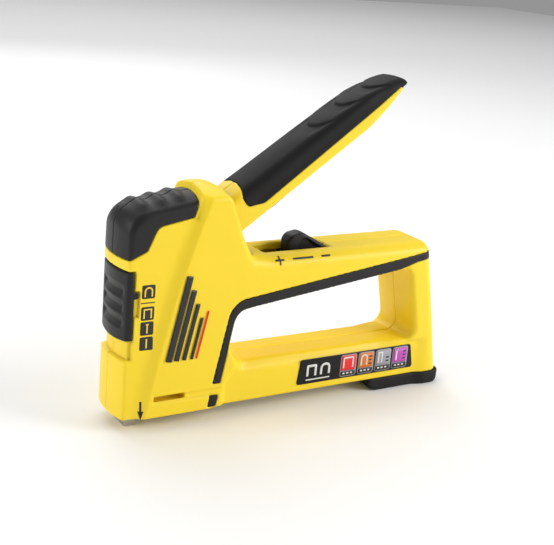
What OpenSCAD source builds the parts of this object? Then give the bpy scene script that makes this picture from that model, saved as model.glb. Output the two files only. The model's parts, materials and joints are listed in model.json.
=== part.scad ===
// Heavy-duty staple gun: two-part housing, squeeze lever, striker, power spring, and a
// bottom-loading magazine that pulls out to the rear.
// The frame: the origin is the point where staples leave the nose. +X runs to the tail,
// +Z up, and Y = 0 is the plane in which the two housing halves meet.

/* [Overall] */
// Distance from the staple exit to the tail end of the rail
tail_x = 184; // [170:1:230]
// Height of the handle's top above the surface the tool stands on
handle_top = 81.5; // [78:0.5:100]
// Height of the hump over the lever pivot
hump_top = 117; // [115:0.5:135]
// Width of the handle, hump and rear column
body_w = 34; // [32:0.5:44]
// Width of the nose column
nose_w = 28; // [27.6:0.2:31]
// Width of the rail that holds the magazine
rail_w = 30; // [24:0.5:32]
// Height of the rail's underside
rail_bottom = 7.2; // [6.8:0.1:8]
// Height of the rail's top, the lower edge of the hand opening
rail_top = 27.4; // [27:0.1:32]
// Wall thickness of the nose column
wall = 2.4; // [2:0.1:2.6]

/* [Nose] */
// Distance from the staple exit to the nose's front corners
nose_reach = 7; // [6.5:0.1:9]
// How far the middle of the nose front stands ahead of its corners
nose_crown = 2.4; // [1:0.1:4]
// Height of the yellow nose's underside, where the steel tip leaves it
nose_bottom = 6.6; // [5:0.1:6.7]
// Height of the lower edge of the black cover on the nose front
cover_bottom = 84.6; // [82:0.2:90]
// Thickness of the black cover
cover_t = 2.2; // [1.5:0.1:3]

/* [Selector] */
// Lower edge of the selector in its upper place
selector_bottom = 45.2; // [45:0.1:48]
// Upper edge of the selector in its upper place
selector_top = 79; // [76:0.5:82]
// Travel of the selector
selector_travel = 8.4; // [4:0.2:8.4]
// Thickness of the selector
selector_t = 2; // [1.5:0.1:2.2]
// Clearance between the selector and the nose
selector_gap = 0.3; // [0.2:0.05:0.5]

/* [Lever] */
// Distance from the staple exit back to the lever's pivot
pivot_x = 38; // [37:0.5:40]
// Height of the lever's pivot
pivot_z = 95; // [94:0.5:98]
// Diameter of the pivot pin
pivot_d = 6; // [4:0.1:7]
// Running clearance on the pivot pin, on the radius
pivot_gap = 0.06; // [0.02:0.01:0.1]
// Distance from the pivot to the lever's far end, along the lever
lever_length = 125; // [110:1:150]
// Slope of the lever at rest, in degrees
lever_slope = 36.5; // [34:0.5:40]
// Width of the yellow lever shell
lever_w = 23; // [22.6:0.2:25]
// Width of the black lever grip
grip_w = 24; // [23:0.2:27]

/* [Striker] */
// Lift of the striker over the lever's whole stroke
striker_lift = 15; // [12:0.5:15]
// Width of the driver blade
blade_w = 10.4; // [8:0.1:11]
// Thickness of the driver blade
blade_t = 1.2; // [0.8:0.1:1.4]
// Height of the striker block's top at rest
striker_top = 88; // [87:0.5:89]

/* [Magazine] */
// Outer width of the magazine channel
channel_w = 14.8; // [13:0.1:16]
// Height of the magazine channel
channel_h = 13.4; // [11:0.1:15]
// Sheet thickness of the magazine channel
channel_t = 1.2; // [0.8:0.1:1.6]
// Diameter of the pusher's guide rod
rod_d = 2.4; // [2:0.1:3]
// Length of the black foot under the rail
foot_length = 49; // [40:1:60]

/* [Power adjuster] */
// Travel of the power adjuster
adjuster_travel = 14; // [6:1:15]
// Width of the power adjuster's knob
knob_w = 8.4; // [7:0.2:11]

/* [Hidden] */
$fn = 48;

YELLOW = [0.98, 0.80, 0.12];
BLACK = [0.11, 0.11, 0.11];
STEEL = [0.66, 0.67, 0.69];
DARK_STEEL = [0.30, 0.30, 0.32];
RUBBER = [0.16, 0.16, 0.17];

// A cut runs past the solid it cuts by this much
over = 1;
// Seam gap of each housing half from the middle plane
seam = 0.05;
body_half = body_w / 2;
nose_half = nose_w / 2;
rail_half = rail_w / 2;
nose_front = -nose_reach - nose_crown;
// Radius of the round nose front that stands nose_crown ahead of its corners
crown_r = (nose_half * nose_half + nose_crown * nose_crown) / (2 * nose_crown);
// The striker guide's webs and what runs inside them
guide_t = 1.1;
guide_half = nose_half - wall - 0.2;
finger_t = 1.8;
finger_half = guide_half - guide_t - 0.3;
block_half = finger_half - finger_t - 0.4;
// The surface of a rail or handle cavity stays this far inside the outside
handle_wall = 3;
opening_front = 45;
opening_rear = tail_x - 21.5;
foot_front = tail_x - foot_length;
magazine_floor = rail_bottom + 0.2;
rod_z = magazine_floor + channel_t + 6.2;

// Outline helpers --------------------------------------------------------------------------

// Points of the arc that rounds corner b, coming from a and leaving to c, with radius r
function corner(a, b, c, r, n = 6) =
  let(u = (a - b) / norm(a - b), v = (c - b) / norm(c - b))
  let(half = acos(max(-1, min(1, u * v))) / 2)
  r <= 0 || half > 89 ? [b] :
  let(m = b + (u + v) / norm(u + v) * (r / sin(half)))
  let(s = b + u * (r / tan(half)) - m, e = b + v * (r / tan(half)) - m)
  let(sweep = 180 - 2 * half, way = sign(s[0] * e[1] - s[1] * e[0]))
  [for (i = [0 : n]) let(t = way * sweep * i / n)
    m + [s[0] * cos(t) - s[1] * sin(t), s[0] * sin(t) + s[1] * cos(t)]];

// A closed outline from corners given as [x, z, radius]
function rounded(p) = [for (i = [0 : len(p) - 1])
  let(q = p[i], a = p[(i + len(p) - 1) % len(p)], c = p[(i + 1) % len(p)])
  each corner([a[0], a[1]], [q[0], q[1]], [c[0], c[1]], q[2])];

// A side-view outline given as [x, z] points, solid from y0 to y1
module slab(points, y0, y1)
  translate([0, y1, 0]) rotate([90, 0, 0]) linear_extrude(y1 - y0) polygon(points);

// A cross-section given as [y, z] points, solid from x0 to x1
module bar(points, x0, x1)
  translate([x0, 0, 0]) rotate([90, 0, 90]) linear_extrude(x1 - x0) polygon(points);

// A box from its low corner to its high corner
module box(low, high) translate(low) cube(high - low);

// A round rod along Y from y0 to y1
module rod_y(x, z, d, y0, y1)
  translate([x, y1, z]) rotate([90, 0, 0]) cylinder(d = d, h = y1 - y0);

// A round rod along X from x0 to x1
module rod_x(z, d, x0, x1)
  translate([x0, 0, z]) rotate([0, 90, 0]) cylinder(d = d, h = x1 - x0);

// What lies on one side of the middle plane: side is -1 for left, 1 for right
module one_side(side) intersection() {
  children();
  translate([-60, side < 0 ? -60 : seam, -20]) cube([340, 60 - seam, 260]);
}

// Outlines ---------------------------------------------------------------------------------

// Front edge of the wide hump and handle, which leans back more as it rises
function ramp_x(z) = let(h = z - nose_bottom) 3.5 + 0.17 * h + 0.00098 * h * h;
ramp_top = hump_top - 4;
ramp = [for (i = [0 : 8]) let(z = nose_bottom + (ramp_top - nose_bottom) * i / 8) [ramp_x(z), z, 0]];

// How far the tail's top leans ahead of its foot, and the stock left for rounding its corners
tail_lean = 18.2;
tail_over = 0.3;
tail_angle = atan((tail_lean - 0.4) / (handle_top - rail_bottom));

body_outline = rounded(concat(ramp, [
  [ramp_x(ramp_top) + 2.5, hump_top, 3], [pivot_x + 3, hump_top - 2, 2],
  [50, 93, 6], [56, handle_top + 2.5, 5], [64, handle_top, 10],
  [tail_x - tail_lean + tail_over, handle_top, 9], [tail_x - 0.4 + tail_over, rail_bottom, 2],
  [42, rail_bottom, 1],
  [38, nose_bottom, 1]]));

// The opening for the hand, between handle, nose, rail and rear column
hand_opening = rounded([[opening_front, rail_top, 12], [opening_rear, rail_top, 6],
  [opening_rear - 9, handle_top - 12.7, 5], [60, 57, 16], [49.6, 55.4, 7]]);

// Section of the hump, with rounded shoulders
hump_section = rounded([[-body_half, 0, 0], [-body_half, hump_top - 3.6, 5],
  [-7, hump_top, 4], [7, hump_top, 4], [body_half, hump_top - 3.6, 5], [body_half, 0, 0]]);

// Section of the handle and rear column, with a round top
handle_section = rounded([[-body_half, -1, 0], [-body_half, handle_top, 8],
  [body_half, handle_top, 8], [body_half, -1, 0]]);

// The nose seen from above: a round front between straight sides, drawn in by inset
module nose_plan(inset, rear) intersection() {
  translate([crown_r + nose_front, 0]) circle(r = crown_r - inset, $fn = 160);
  translate([nose_front - 1, -nose_half + inset]) square([rear - nose_front + 1, nose_w - 2 * inset]);
}

// The black cover in side view; grow widens it where the housing makes room for it
function cover_side(grow) = rounded([[nose_front - 0.5 - grow, 107, 9],
  [28 + grow, hump_top - 3.4, 0], [24.2 + grow, 103 - grow, 1], [6.5, 99.6 - grow, 5],
  [1.5 + grow, 88.6 - grow, 2], [-nose_reach, cover_bottom - grow, 0],
  [nose_front - 0.5 - grow, cover_bottom - grow, 0]]);
// The housing under the cover
crest_in = cover_t + 0.1;
nose_core = rounded([[nose_front - over, nose_bottom, 0], [nose_front - over, 107 - crest_in, 9],
  [28, hump_top - 3.4 - crest_in, 0], [40, hump_top - 6, 0], [44, nose_bottom, 0]]);

// Housing ----------------------------------------------------------------------------------

// Where the recess for the selector starts and ends
recess_low = selector_bottom - selector_travel - 0.4;
recess_high = selector_top + 0.5;
recess_rear = -nose_reach + 3.5;
tab_low = 66.3;
tab_high = 69.5;
tab_rear = -nose_reach + 5.4;

// The nose column with its recess for the selector and its step under the cover
module nose_block() difference() {
  intersection() {
    translate([0, 0, nose_bottom]) linear_extrude(hump_top) nose_plan(0, 33);
    slab(nose_core, -nose_half - over, nose_half + over);
  }
  // step that the cover lies in
  difference() {
    slab(cover_side(0.2), -nose_half - 2 * over, nose_half + 2 * over);
    translate([0, 0, cover_bottom - 2 * over]) linear_extrude(hump_top) nose_plan(crest_in, 50);
  }
  // recess on the front and around both corners
  difference() {
    box([nose_front - over, -body_half, recess_low], [recess_rear, body_half, recess_high]);
    translate([0, 0, recess_low - over]) linear_extrude(recess_high - recess_low + 2 * over)
      nose_plan(selector_t + selector_gap, 30);
  }
  // pocket of the detent spring
  box([-7.8, -3.4, 51], [-5.7, 3.4, 73]);
  // slots for the two pointers
  for (s = [-1, 1]) box([recess_rear - over, min(s * (nose_half - 1.9), s * body_half),
      tab_low - selector_travel - 0.5],
    [tab_rear + 0.4, max(s * (nose_half - 1.9), s * body_half), tab_high + 0.5]);
}

// Where the rail becomes narrower than the body ahead of it
notch_x = 44;

// The hump, handle, rear column and rail as one solid
module body_block() difference() {
  union() {
    intersection() {
      slab(body_outline, -body_half, body_half);
      bar(hump_section, 0, 57);
    }
    intersection() {
      slab(body_outline, -body_half, body_half);
      bar(handle_section, 56.5, tail_x + over);
      tail_prism();
    }
  }
  slab(hand_opening, -body_half - over, body_half + over);
  // the rail is narrower than the handle
  for (s = [-1, 1])
    slab(rounded([[notch_x, nose_bottom - over, 0], [tail_x + over, nose_bottom - over, 0],
        [tail_x + over, rail_top - 5, 0], [opening_rear + 4, rail_top - 2.4, 8],
        [opening_front + 6, rail_top - 0.6, 10], [notch_x, 19, 3]]),
      s < 0 ? -body_half - over : rail_half, s < 0 ? -rail_half : body_half + over);
}

// Everything ahead of the leaning tail, whose two rear corners are round seen from above
module tail_prism()
  translate([tail_x - 0.4, 0, rail_bottom]) rotate([0, -tail_angle, 0]) translate([0, 0, -40])
    linear_extrude(220) polygon(rounded([[-300, -body_half - 0.5, 0], [0, -body_half - 0.5, 8],
      [0, body_half + 0.5, 8], [-300, body_half + 0.5, 0]]));

trim_t = 1;
// The trim band follows the opening's front and upper edges
band_outline = rounded([[38.5, 19.5, 0.6], [42.9, 19.5, 0.6], [49.2, 54.8, 8.5],
  [60, 56.7, 14], [tail_x - 38, 68, 3], [tail_x - 27, 71.4, 6], [tail_x - 13, 73.4, 0.5],
  [tail_x - 14.6, 77, 0.5], [46.5, 60.6, 11]]);
band_tail = rounded([[37.6, 14, 0.6], [42.4, 13.6, 0.6], [41, 7.6, 0.6], [36.6, 7.6, 0.6]]);

module trim(side, gap) {
  y_in = body_half - trim_t - gap;
  y_out = body_half + (gap > 0 ? over : 0);
  intersection() {
    for (o = [band_outline, band_tail])
      slab(o, side < 0 ? -y_out : y_in, side < 0 ? -y_in : y_out);
    slab(body_outline, -body_half - 2 * over, body_half + 2 * over);
    bar(handle_section, 0, tail_x);
    tail_prism();
  }
}

// Screw places: [x, z, length]
screw_places = [[18, 30], [30, 48], [tail_x - 27.5, 74.5], [tail_x - 15.5, 40]];
// Height of the pin that holds down the rear end of the leaf spring
anchor_z = 74.95;
screw_d = 3.5;
screw_head_d = 6.8;
screw_head_y = body_half - 3.2;
// The adjuster's knob in its rearmost place, and its slot
knob_front = 83.6;
knob_rear = 105.6;
slot_half = knob_w / 2 + 3;
tip_half = blade_w / 2 + 1.4;

module housing(side) {
  half_cavity = nose_half - wall;
  difference() {
    one_side(side) difference() {
      union() {
        nose_block();
        body_block();
      }
      trim(side, 0.05);
      // striker shaft in the nose
      box([-2.8, -half_cavity, 22.6], [12.6, half_cavity, striker_top + striker_lift + 1]);
      // magazine tunnel, open below and at the rear
      box([3.6, -channel_w / 2 - 0.5, -over], [tail_x + over, channel_w / 2 + 0.5, 22.4]);
      // room for the steel nose tip
      box([-3.2, -tip_half - 0.4, -over], [3.8, tip_half + 0.4, 23]);
      // lever bay: narrow beside the striker shaft, wide under the hump, open behind it
      slab(rounded([[8, 78, 2], [40, 78, 4], [40, pivot_z + 11, 0], [8, pivot_z + 8, 2]]),
        -half_cavity - 0.4, half_cavity + 0.4);
      slab(rounded([[pivot_x - 8, 78, 0], [44, 78, 4], [61, handle_top + 2, 0], [61, hump_top + 7, 0],
        [pivot_x + 4, hump_top + 7, 0], [pivot_x + 2.4, hump_top - 4.4, 0],
        [pivot_x - 4, hump_top - 4.4, 2], [pivot_x - 8, pivot_z + 9, 2]]), -body_half + 3, body_half - 3);
      // the leaf spring's channel from the striker shaft to the handle
      box([10, -8, 63], [62, 8, 80]);
      // hollow handle and rear column
      box([58, -body_half + handle_wall, 64], [72, body_half - handle_wall, 77.5]);
      box([70, -body_half + handle_wall, 66], [tail_x - 42, body_half - handle_wall, 77.5]);
      // slot of the power adjuster
      box([knob_front - adjuster_travel - 2.4, -slot_half, 76],
        [knob_rear + 0.4, slot_half, handle_top + over]);
      // room for the rear end of the leaf spring
      box([tail_x - 46, -9, 69.5], [tail_x - 31.4, 9, 77.8]);
      // slot on each side of the nose, beside the first staples
      for (s = [-1, 1]) slab(rounded([[8, 13.6, 2], [45, 13.6, 0.5], [45, 17.6, 0.5], [8, 17.6, 2]]),
        s < 0 ? -body_half - over : nose_half - 1.6, s < 0 ? -nose_half + 1.6 : body_half + over);
    }
    // pivot pin's seat and the spring anchor's seat
    rod_y(pivot_x, pivot_z, pivot_d + 0.1, -body_half + 1, body_half - 1);
    rod_y(tail_x - 36, anchor_z, 5.1, -12, 12);
    // screw holes: clearance and a counterbore on the right, a pilot on the left
    for (p = screw_places) {
      rod_y(p[0], p[1], screw_d + 0.1, -body_half + 5, body_half + over);
      rod_y(p[0], p[1], screw_head_d + 0.6, screw_head_y - 2.1, body_half + over);
    }
  }
}

module left_housing() color(YELLOW) housing(-1);
module right_housing() color(YELLOW) housing(1);

// Nose cover -------------------------------------------------------------------------------

// Slope of the cover's top
cover_slope = 9.2;

module nose_cover(side) color(BLACK) one_side(side) difference() {
  intersection() {
    slab(cover_side(0), -nose_half - over, nose_half + over);
    translate([0, 0, cover_bottom - over]) linear_extrude(40) nose_plan(0, 40);
  }
  intersection() {
    translate([0, 0, cover_bottom - 2 * over]) linear_extrude(50) nose_plan(cover_t, 60);
    slab(nose_core, -nose_half - 2 * over, nose_half + 2 * over);
  }
  // rounded shoulders between top and side
  for (s = [-1, 1]) translate([nose_front, s * (nose_half - 5), 106.6]) rotate([0, -cover_slope, 0])
    rotate([s * -36, 0, 0]) translate([-30, -20, 0]) cube([90, 40, 20]);
}

module left_nose_cover() nose_cover(-1);
module right_nose_cover() nose_cover(1);

module left_trim_band() color(BLACK) trim(-1, 0);
module right_trim_band() color(BLACK) trim(1, 0);

// Badge: a thin plate on the left side of the rail
badge_t = 0.5;
module left_badge() color(BLACK)
  slab(rounded([[88.2, 11, 1.4], [tail_x - 21, 11, 1.4], [tail_x - 23.8, 24.5, 1.4], [89.8, 24.5, 1.4]]),
    -rail_half - badge_t, -rail_half);

// Selector ---------------------------------------------------------------------------------

ridge_pitch = 7;
module selector() color(BLACK) difference() {
  union() {
    difference() {
      translate([0, 0, selector_bottom]) linear_extrude(selector_top - selector_bottom)
        intersection() {
          nose_plan(0, 30);
          translate([nose_front - 1, -nose_half]) square([recess_rear - nose_front + 0.8, nose_w]);
        }
      translate([0, 0, selector_bottom - over]) linear_extrude(selector_top - selector_bottom + 2 * over)
        nose_plan(selector_t, 40);
    }
    // pointers that run in the side slots
    for (s = [-1, 1]) box([recess_rear - 1, min(s * (nose_half - 1.6), s * nose_half), tab_low],
      [tab_rear, max(s * (nose_half - 1.6), s * nose_half), tab_high]);
  }
  // scoops between the finger ridges
  for (i = [0 : 2]) translate([nose_front - 6.2, 0, selector_bottom + 10 + i * ridge_pitch])
    rotate([90, 0, 0]) cylinder(r = 6.9, h = nose_w - 6, center = true);
}

module selector_spring() color(STEEL)
  slab([[-6.1, 51.4], [-6.1, 54], [-7, 62], [-6.1, 70], [-6.1, 72.6], [-5.8, 72.6], [-5.8, 70.2],
    [-6.7, 62], [-5.8, 53.8], [-5.8, 51.4]], -3, 3);

// Lever ------------------------------------------------------------------------------------

// Turns a shape drawn along +X from the pivot to the lever's slope at rest
module on_lever() translate([pivot_x, 0, pivot_z]) rotate([0, -lever_slope, 0]) children();

// Across the lever, from the line through its pivot: the underside and the shell's upper edge
under = -10.8;
split = -4.7;
shell_outline = rounded([[-10, -8.6, 8], [lever_length - 31, under, 14], [lever_length - 17, -8.7, 12],
  [lever_length - 5, -6.5, 3], [lever_length + 0.6, -6, 0.6], [lever_length + 0.6, split, 0],
  [24, split, 4], [20, 3, 4], [18.5, 8.6, 3], [-3, 9.8, 8], [-10, 6, 6]]);
grip_outline = rounded([[24.05, split + 0.05, 4], [lever_length + 0.6, split + 0.05, 0],
  [lever_length, -3.2, 2], [lever_length - 4, -1.2, 4], [lever_length - 11, 1.3, 10],
  [lever_length - 20, 3.4, 14], [lever_length * 0.76, 5.1, 20], [lever_length * 0.5, 6.7, 30],
  [30, 8, 20], [18.6, 8.9, 2], [20.05, 3.05, 4]]);
// The channel's webs and cheeks end here; the shell's tip is solid beyond
cheek_end = lever_length - 24;
// Screws through the shell and the channel, along the lever, and their height across it
lever_screw_places = [lever_length - 59, lever_length - 31];
lever_screw_z = -7.2;
lever_screw_head_d = 4.6;
boss_d = 4.8;

module lever_shell(side) color(YELLOW) one_side(side) on_lever() difference() {
  union() {
    difference() {
      slab(shell_outline, -lever_w / 2, lever_w / 2);
      // hollow underside that holds the steel channel, open towards the pivot
      slab([[-20, under - 2 * over], [cheek_end + 2, under - 2 * over], [cheek_end + 2, -0.3], [12, -0.3],
        [12, 20], [-20, 20]], -finger_half - 0.2, finger_half + 0.2);
    }
    // bosses of the left shell, which the screws bite into
    for (x = lever_screw_places) rod_y(x, lever_screw_z, boss_d, -finger_half - 0.6, -seam);
  }
  rod_y(0, 0, pivot_d + 1.4, -lever_w, lever_w);
  for (x = lever_screw_places) rod_y(x, lever_screw_z, 2.9, -finger_half, lever_w);
}

module lever_left_shell() lever_shell(-1);
module lever_right_shell() lever_shell(1);

module lever_grip() color(RUBBER) on_lever() difference() {
  intersection() {
    slab(grip_outline, -grip_w / 2, grip_w / 2);
    // round upper edges that sink towards the far end
    translate([18, 0, 8.6]) rotate([0, 3, 0]) bar(rounded([[-grip_w / 2 - over, -40, 0],
      [-grip_w / 2 - over, 0, 9], [grip_w / 2 + over, 0, 9], [grip_w / 2 + over, -40, 0]]), -over, 130);
  }
  // scoops for the fingertips
  for (x = [lever_length - 14, lever_length - 35, lever_length - 56])
    translate([x, 0, 6 + (lever_length - x) * 0.03 + 33]) rotate([90, 0, 0])
      cylinder(r = 36, h = grip_w - 8, center = true, $fn = 96);
  // the grip's flanks stand beside the channel
  box([pivot_d + 5, -finger_half - 0.2, -12], [cheek_end + 2, finger_half + 0.2, 0.2]);
}

// Steel channel of the lever: two cheeks with lift fingers, joined by webs
finger_top_z = pivot_z - 13;
module lever_channel() color(DARK_STEEL) difference() {
  union() {
    for (s = [-1, 1]) {
      y0 = s < 0 ? -finger_half : finger_half - finger_t;
      slab(rounded([[1.7, finger_top_z - 1.3, 0], [5, finger_top_z, 0], [pivot_x - 9, pivot_z - 3.6, 2],
        [pivot_x - 4, pivot_z + 7, 5], [pivot_x + 6, pivot_z + 5, 5], [pivot_x + 7, pivot_z - 7, 5],
        [pivot_x - 3, pivot_z - 8, 5], [5, finger_top_z - 6, 2], [1.7, finger_top_z - 5, 1]]),
        y0, y0 + finger_t);
      on_lever() slab(rounded([[-5, -6, 3], [30, under + 0.6, 6], [cheek_end, under + 0.6, 3],
        [cheek_end, -0.5, 2], [11, -0.5, 2], [6, 5, 2], [-5, 5, 3]]), y0 + 0.15, y0 + finger_t - 0.15);
    }
    on_lever() box([22, -finger_half + 0.5, -1.9], [cheek_end - 3, finger_half - 0.5, -0.4]);
  }
  rod_y(pivot_x, pivot_z, pivot_d + 2 * pivot_gap, -lever_w, lever_w);
  on_lever() for (x = lever_screw_places) {
    rod_y(x, lever_screw_z, boss_d + 0.2, -lever_w, 0);
    rod_y(x, lever_screw_z, 3.1, -over, lever_w);
  }
}

module lever_screws() color(STEEL) on_lever() for (x = lever_screw_places) {
  rod_y(x, lever_screw_z, 2.8, -finger_half + 0.4, lever_w / 2 + 0.1);
  rod_y(x, lever_screw_z, lever_screw_head_d, lever_w / 2 + 0.02, lever_w / 2 + 1.3);
}

module pivot_pin() color(STEEL) rod_y(pivot_x, pivot_z, pivot_d, -body_half + 1.2, body_half - 1.2);

module pivot_sleeve() color(STEEL) difference() {
  rod_y(pivot_x, pivot_z, pivot_d + 2.4, -finger_half + finger_t + 0.1, finger_half - finger_t - 0.1);
  rod_y(pivot_x, pivot_z, pivot_d + 2 * pivot_gap, -lever_w, lever_w);
}

// A wire of diameter d wound from points, with n sides
module wire(points, d, n = 8) {
  last = len(points) - 1;
  dirs = [for (i = [0 : last]) let(v = points[min(last, i + 1)] - points[max(0, i - 1)]) v / norm(v)];
  up = abs(dirs[0][0]) > 0.9 ? [0, 0, 1] : [1, 0, 0];
  rings = [for (i = [0 : last]) let(a = cross(dirs[i], up), u = a / norm(a), v = cross(dirs[i], u))
    for (k = [0 : n - 1]) points[i] + d / 2 * (u * cos(k * 360 / n) + v * sin(k * 360 / n))];
  sides = [for (i = [0 : last - 1], k = [0 : n - 1]) let(a = i * n + k, b = i * n + (k + 1) % n)
    each [[a, b, b + n], [a, b + n, a + n]]];
  polyhedron(rings, concat([[for (k = [n - 1 : -1 : 0]) k]], sides,
    [[for (k = [0 : n - 1]) last * n + k]]));
}

// Torsion spring of the lever, wound round the pivot sleeve, with one arm in the lever
module return_spring() {
  coil_r = 6.4;
  wire_d = 1.3;
  step = 22.5;
  steps = 70;
  arm = function (x, z) [pivot_x + x * cos(lever_slope) - z * sin(lever_slope), 4,
    pivot_z + x * sin(lever_slope) + z * cos(lever_slope)];
  points = concat([[pivot_x - coil_r, -4, pivot_z + 10]],
    [for (i = [0 : steps]) let(a = i * step)
      [pivot_x - coil_r * cos(a), -4 + i * 8 / steps, pivot_z - coil_r * sin(a)]],
    [arm(12, -5.4), arm(25, -2.7)]);
  color(STEEL) wire(points, wire_d, 6);
}

// Striker ----------------------------------------------------------------------------------

guide_front = -2.5;
module striker_guide() color(STEEL) difference() {
  box([guide_front, -guide_half, 23.2], [10.6, guide_half, 84]);
  box([guide_front + guide_t, -guide_half + guide_t, 20], [12, guide_half - guide_t, 90]);
}

module nose_tip() color(STEEL) difference() {
  box([guide_front, -tip_half, 0], [3.2, tip_half, 22.4]);
  // staple path
  box([-blade_t / 2 - 0.25, -blade_w / 2 - 0.35, -over], [blade_t / 2 + 0.25, blade_w / 2 + 0.35, 23]);
  // staples enter from the magazine
  box([0, -blade_w / 2 - 0.35, magazine_floor + channel_t], [4, blade_w / 2 + 0.35, 21]);
}

block_bottom = 42;
spring_z = 68;
module striker_block() color(DARK_STEEL) difference() {
  box([blade_t / 2 + 0.02, -block_half, block_bottom], [9.4, block_half, striker_top]);
  // window for the leaf spring's tip
  box([1.6, -6.4, spring_z - 3.2], [12, 6.4, spring_z + 4.6]);
  rod_y(5, finger_top_z + 2.5, 4.04, -nose_w, nose_w);
}

module lift_pin() color(STEEL) rod_y(5, finger_top_z + 2.5, 4, -finger_half, finger_half);

module driver_blade() color(STEEL) box([-blade_t / 2, -blade_w / 2, 0.6], [blade_t / 2, blade_w / 2, 62]);

module stop_pad() color(RUBBER) box([1.2, -7, 34.6], [9.6, 7, block_bottom - 0.2]);

// Leaf spring: two strips one on the other, from under the anchor pin to the striker's window
leaf_t = 1.6;
leaf_rear_z = anchor_z - 2.5 - leaf_t - 0.05;
module power_spring() color(DARK_STEEL) for (i = [0, 1]) {
  lift = i * (leaf_t + 0.05);
  rear = tail_x - 32 - i * 28;
  rear_z = 67.2 + (leaf_rear_z - 67.2) * (rear - 60) / (tail_x - 92) + lift;
  slab([[3, spring_z - 1.4 + lift], [60, 67.2 + lift], [rear, rear_z], [rear, rear_z + leaf_t],
    [60, 67.2 + leaf_t + lift], [3, spring_z - 1.4 + leaf_t + lift]], -6, 6);
}

module spring_anchor() color(STEEL) rod_y(tail_x - 36, anchor_z, 5, -11.8, 11.8);

// Power adjuster ---------------------------------------------------------------------------

// The fulcrum roller under the knob: place, height and diameter
roller_x = 92;
roller_z = 74;
roller_d = 3.9;
knob_outline = rounded([[knob_front, handle_top - 3, 0], [knob_front + 0.6, handle_top + 2, 2],
  [knob_front + 3.4, handle_top + 6.4, 3], [knob_front + 9.4, handle_top + 6.4, 4],
  [knob_rear, handle_top - 0.4, 2], [knob_rear, handle_top - 3, 0]]);
module adjuster_knob() color(BLACK) difference() {
  union() {
    slab(knob_outline, -knob_w / 2, knob_w / 2);
    box([knob_front + 0.4, -slot_half - 2, 76], [knob_rear - 0.4, slot_half + 2, 77.2]);
    box([knob_front + 0.6, -knob_w / 2 + 0.2, 77.1], [knob_rear - 0.6, knob_w / 2 - 0.2, handle_top - 2.5]);
    // ears that carry the fulcrum roller
    for (y = [-8, 6.6]) box([roller_x - 3, y, 72.2], [roller_x + 3, y + 1.4, 76.5]);
  }
  // finger hollows on both flanks
  for (s = [-1, 1]) slab(rounded([[knob_front + 4, handle_top - 1.2, 1], [knob_front + 7, handle_top + 4, 2],
    [knob_front + 10, handle_top + 3.6, 2], [knob_front + 16, handle_top - 1.2, 1]]),
    s < 0 ? -knob_w : knob_w / 2 - 1.2, s < 0 ? -knob_w / 2 + 1.2 : knob_w);
  rod_y(roller_x, roller_z, 3.04, -9, 9);
}

module fulcrum_roller() color(STEEL) {
  rod_y(roller_x, roller_z, 3, -8, 8);
  rod_y(roller_x, roller_z, roller_d, -6.3, 6.3);
}

// Magazine ---------------------------------------------------------------------------------

channel_front = 4;
channel_rear = tail_x - 16;
module magazine_channel() color(STEEL) difference() {
  box([channel_front, -channel_w / 2, magazine_floor],
    [channel_rear, channel_w / 2, magazine_floor + channel_h]);
  box([channel_front - over, -channel_w / 2 + channel_t, magazine_floor + channel_t],
    [channel_rear + over, channel_w / 2 - channel_t, 40]);
}

module magazine_end() color(BLACK) difference() {
  box([channel_rear - 8, -channel_w / 2 + channel_t + 0.05, magazine_floor + channel_t + 0.05],
    [channel_rear, channel_w / 2 - channel_t - 0.05, magazine_floor + channel_h]);
  rod_x(rod_z, rod_d + 0.04, channel_rear - 9, channel_rear + over);
}

module magazine_foot() color(BLACK) difference() {
  intersection() {
    slab(rounded([[foot_front, rail_bottom - 0.15, 0], [foot_front + 0.4, 4.2, 1.5],
      [foot_front + 5, 0, 4], [tail_x - 6, 0, 2], [tail_x - 0.6, 2.2, 3],
      [tail_x - 0.5, rail_bottom - 0.15, 0]]), -rail_half, rail_half);
    linear_extrude(rail_bottom + over)
      polygon(rounded([[foot_front - over, -rail_half, 0], [tail_x, -rail_half, 8],
        [tail_x, rail_half, 8], [foot_front - over, rail_half, 0]]));
  }
  // seat of the latch
  box([tail_x - 7, -5.3, 3], [tail_x + over, 5.3, rail_bottom + over]);
}

module pusher_rod() color(STEEL) rod_x(rod_z, rod_d, channel_front + 4, channel_rear);

pusher_front = channel_front + 2;
pusher_length = 20;
module pusher() color(DARK_STEEL) difference() {
  box([pusher_front, -channel_w / 2 + channel_t + 0.5, magazine_floor + channel_t + 0.3],
    [pusher_front + pusher_length, channel_w / 2 - channel_t - 0.5, magazine_floor + channel_h - 0.6]);
  rod_x(rod_z, rod_d + 0.12, pusher_front - over, pusher_front + pusher_length + over);
}

module pusher_spring() {
  turns = 26;
  x0 = pusher_front + pusher_length + 0.5;
  x1 = channel_rear - 8.5;
  color(STEEL) wire([for (i = [0 : turns * 10]) let(a = i * 36)
    [x0 + 0.4 + (x1 - x0 - 0.8) * i / (turns * 10), 2.5 * cos(a), rod_z + 2.5 * sin(a)]], 0.7, 5);
}

module magazine_latch() color(BLACK) {
  box([tail_x - 5, -5, 3.3], [tail_x + 1.4, 5, 14]);
  box([tail_x - 8.4, -5, 10], [tail_x - 5, 5, 21.8]);
}

module latch_spring() {
  turns = 4;
  color(STEEL) wire([for (i = [0 : turns * 12]) let(a = i * 30)
    [tail_x - 14.6 + 5.6 * i / (turns * 12), 2.6 * cos(a), 16.4 + 2.6 * sin(a)]], 0.7, 6);
}

// Fasteners --------------------------------------------------------------------------------

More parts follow.
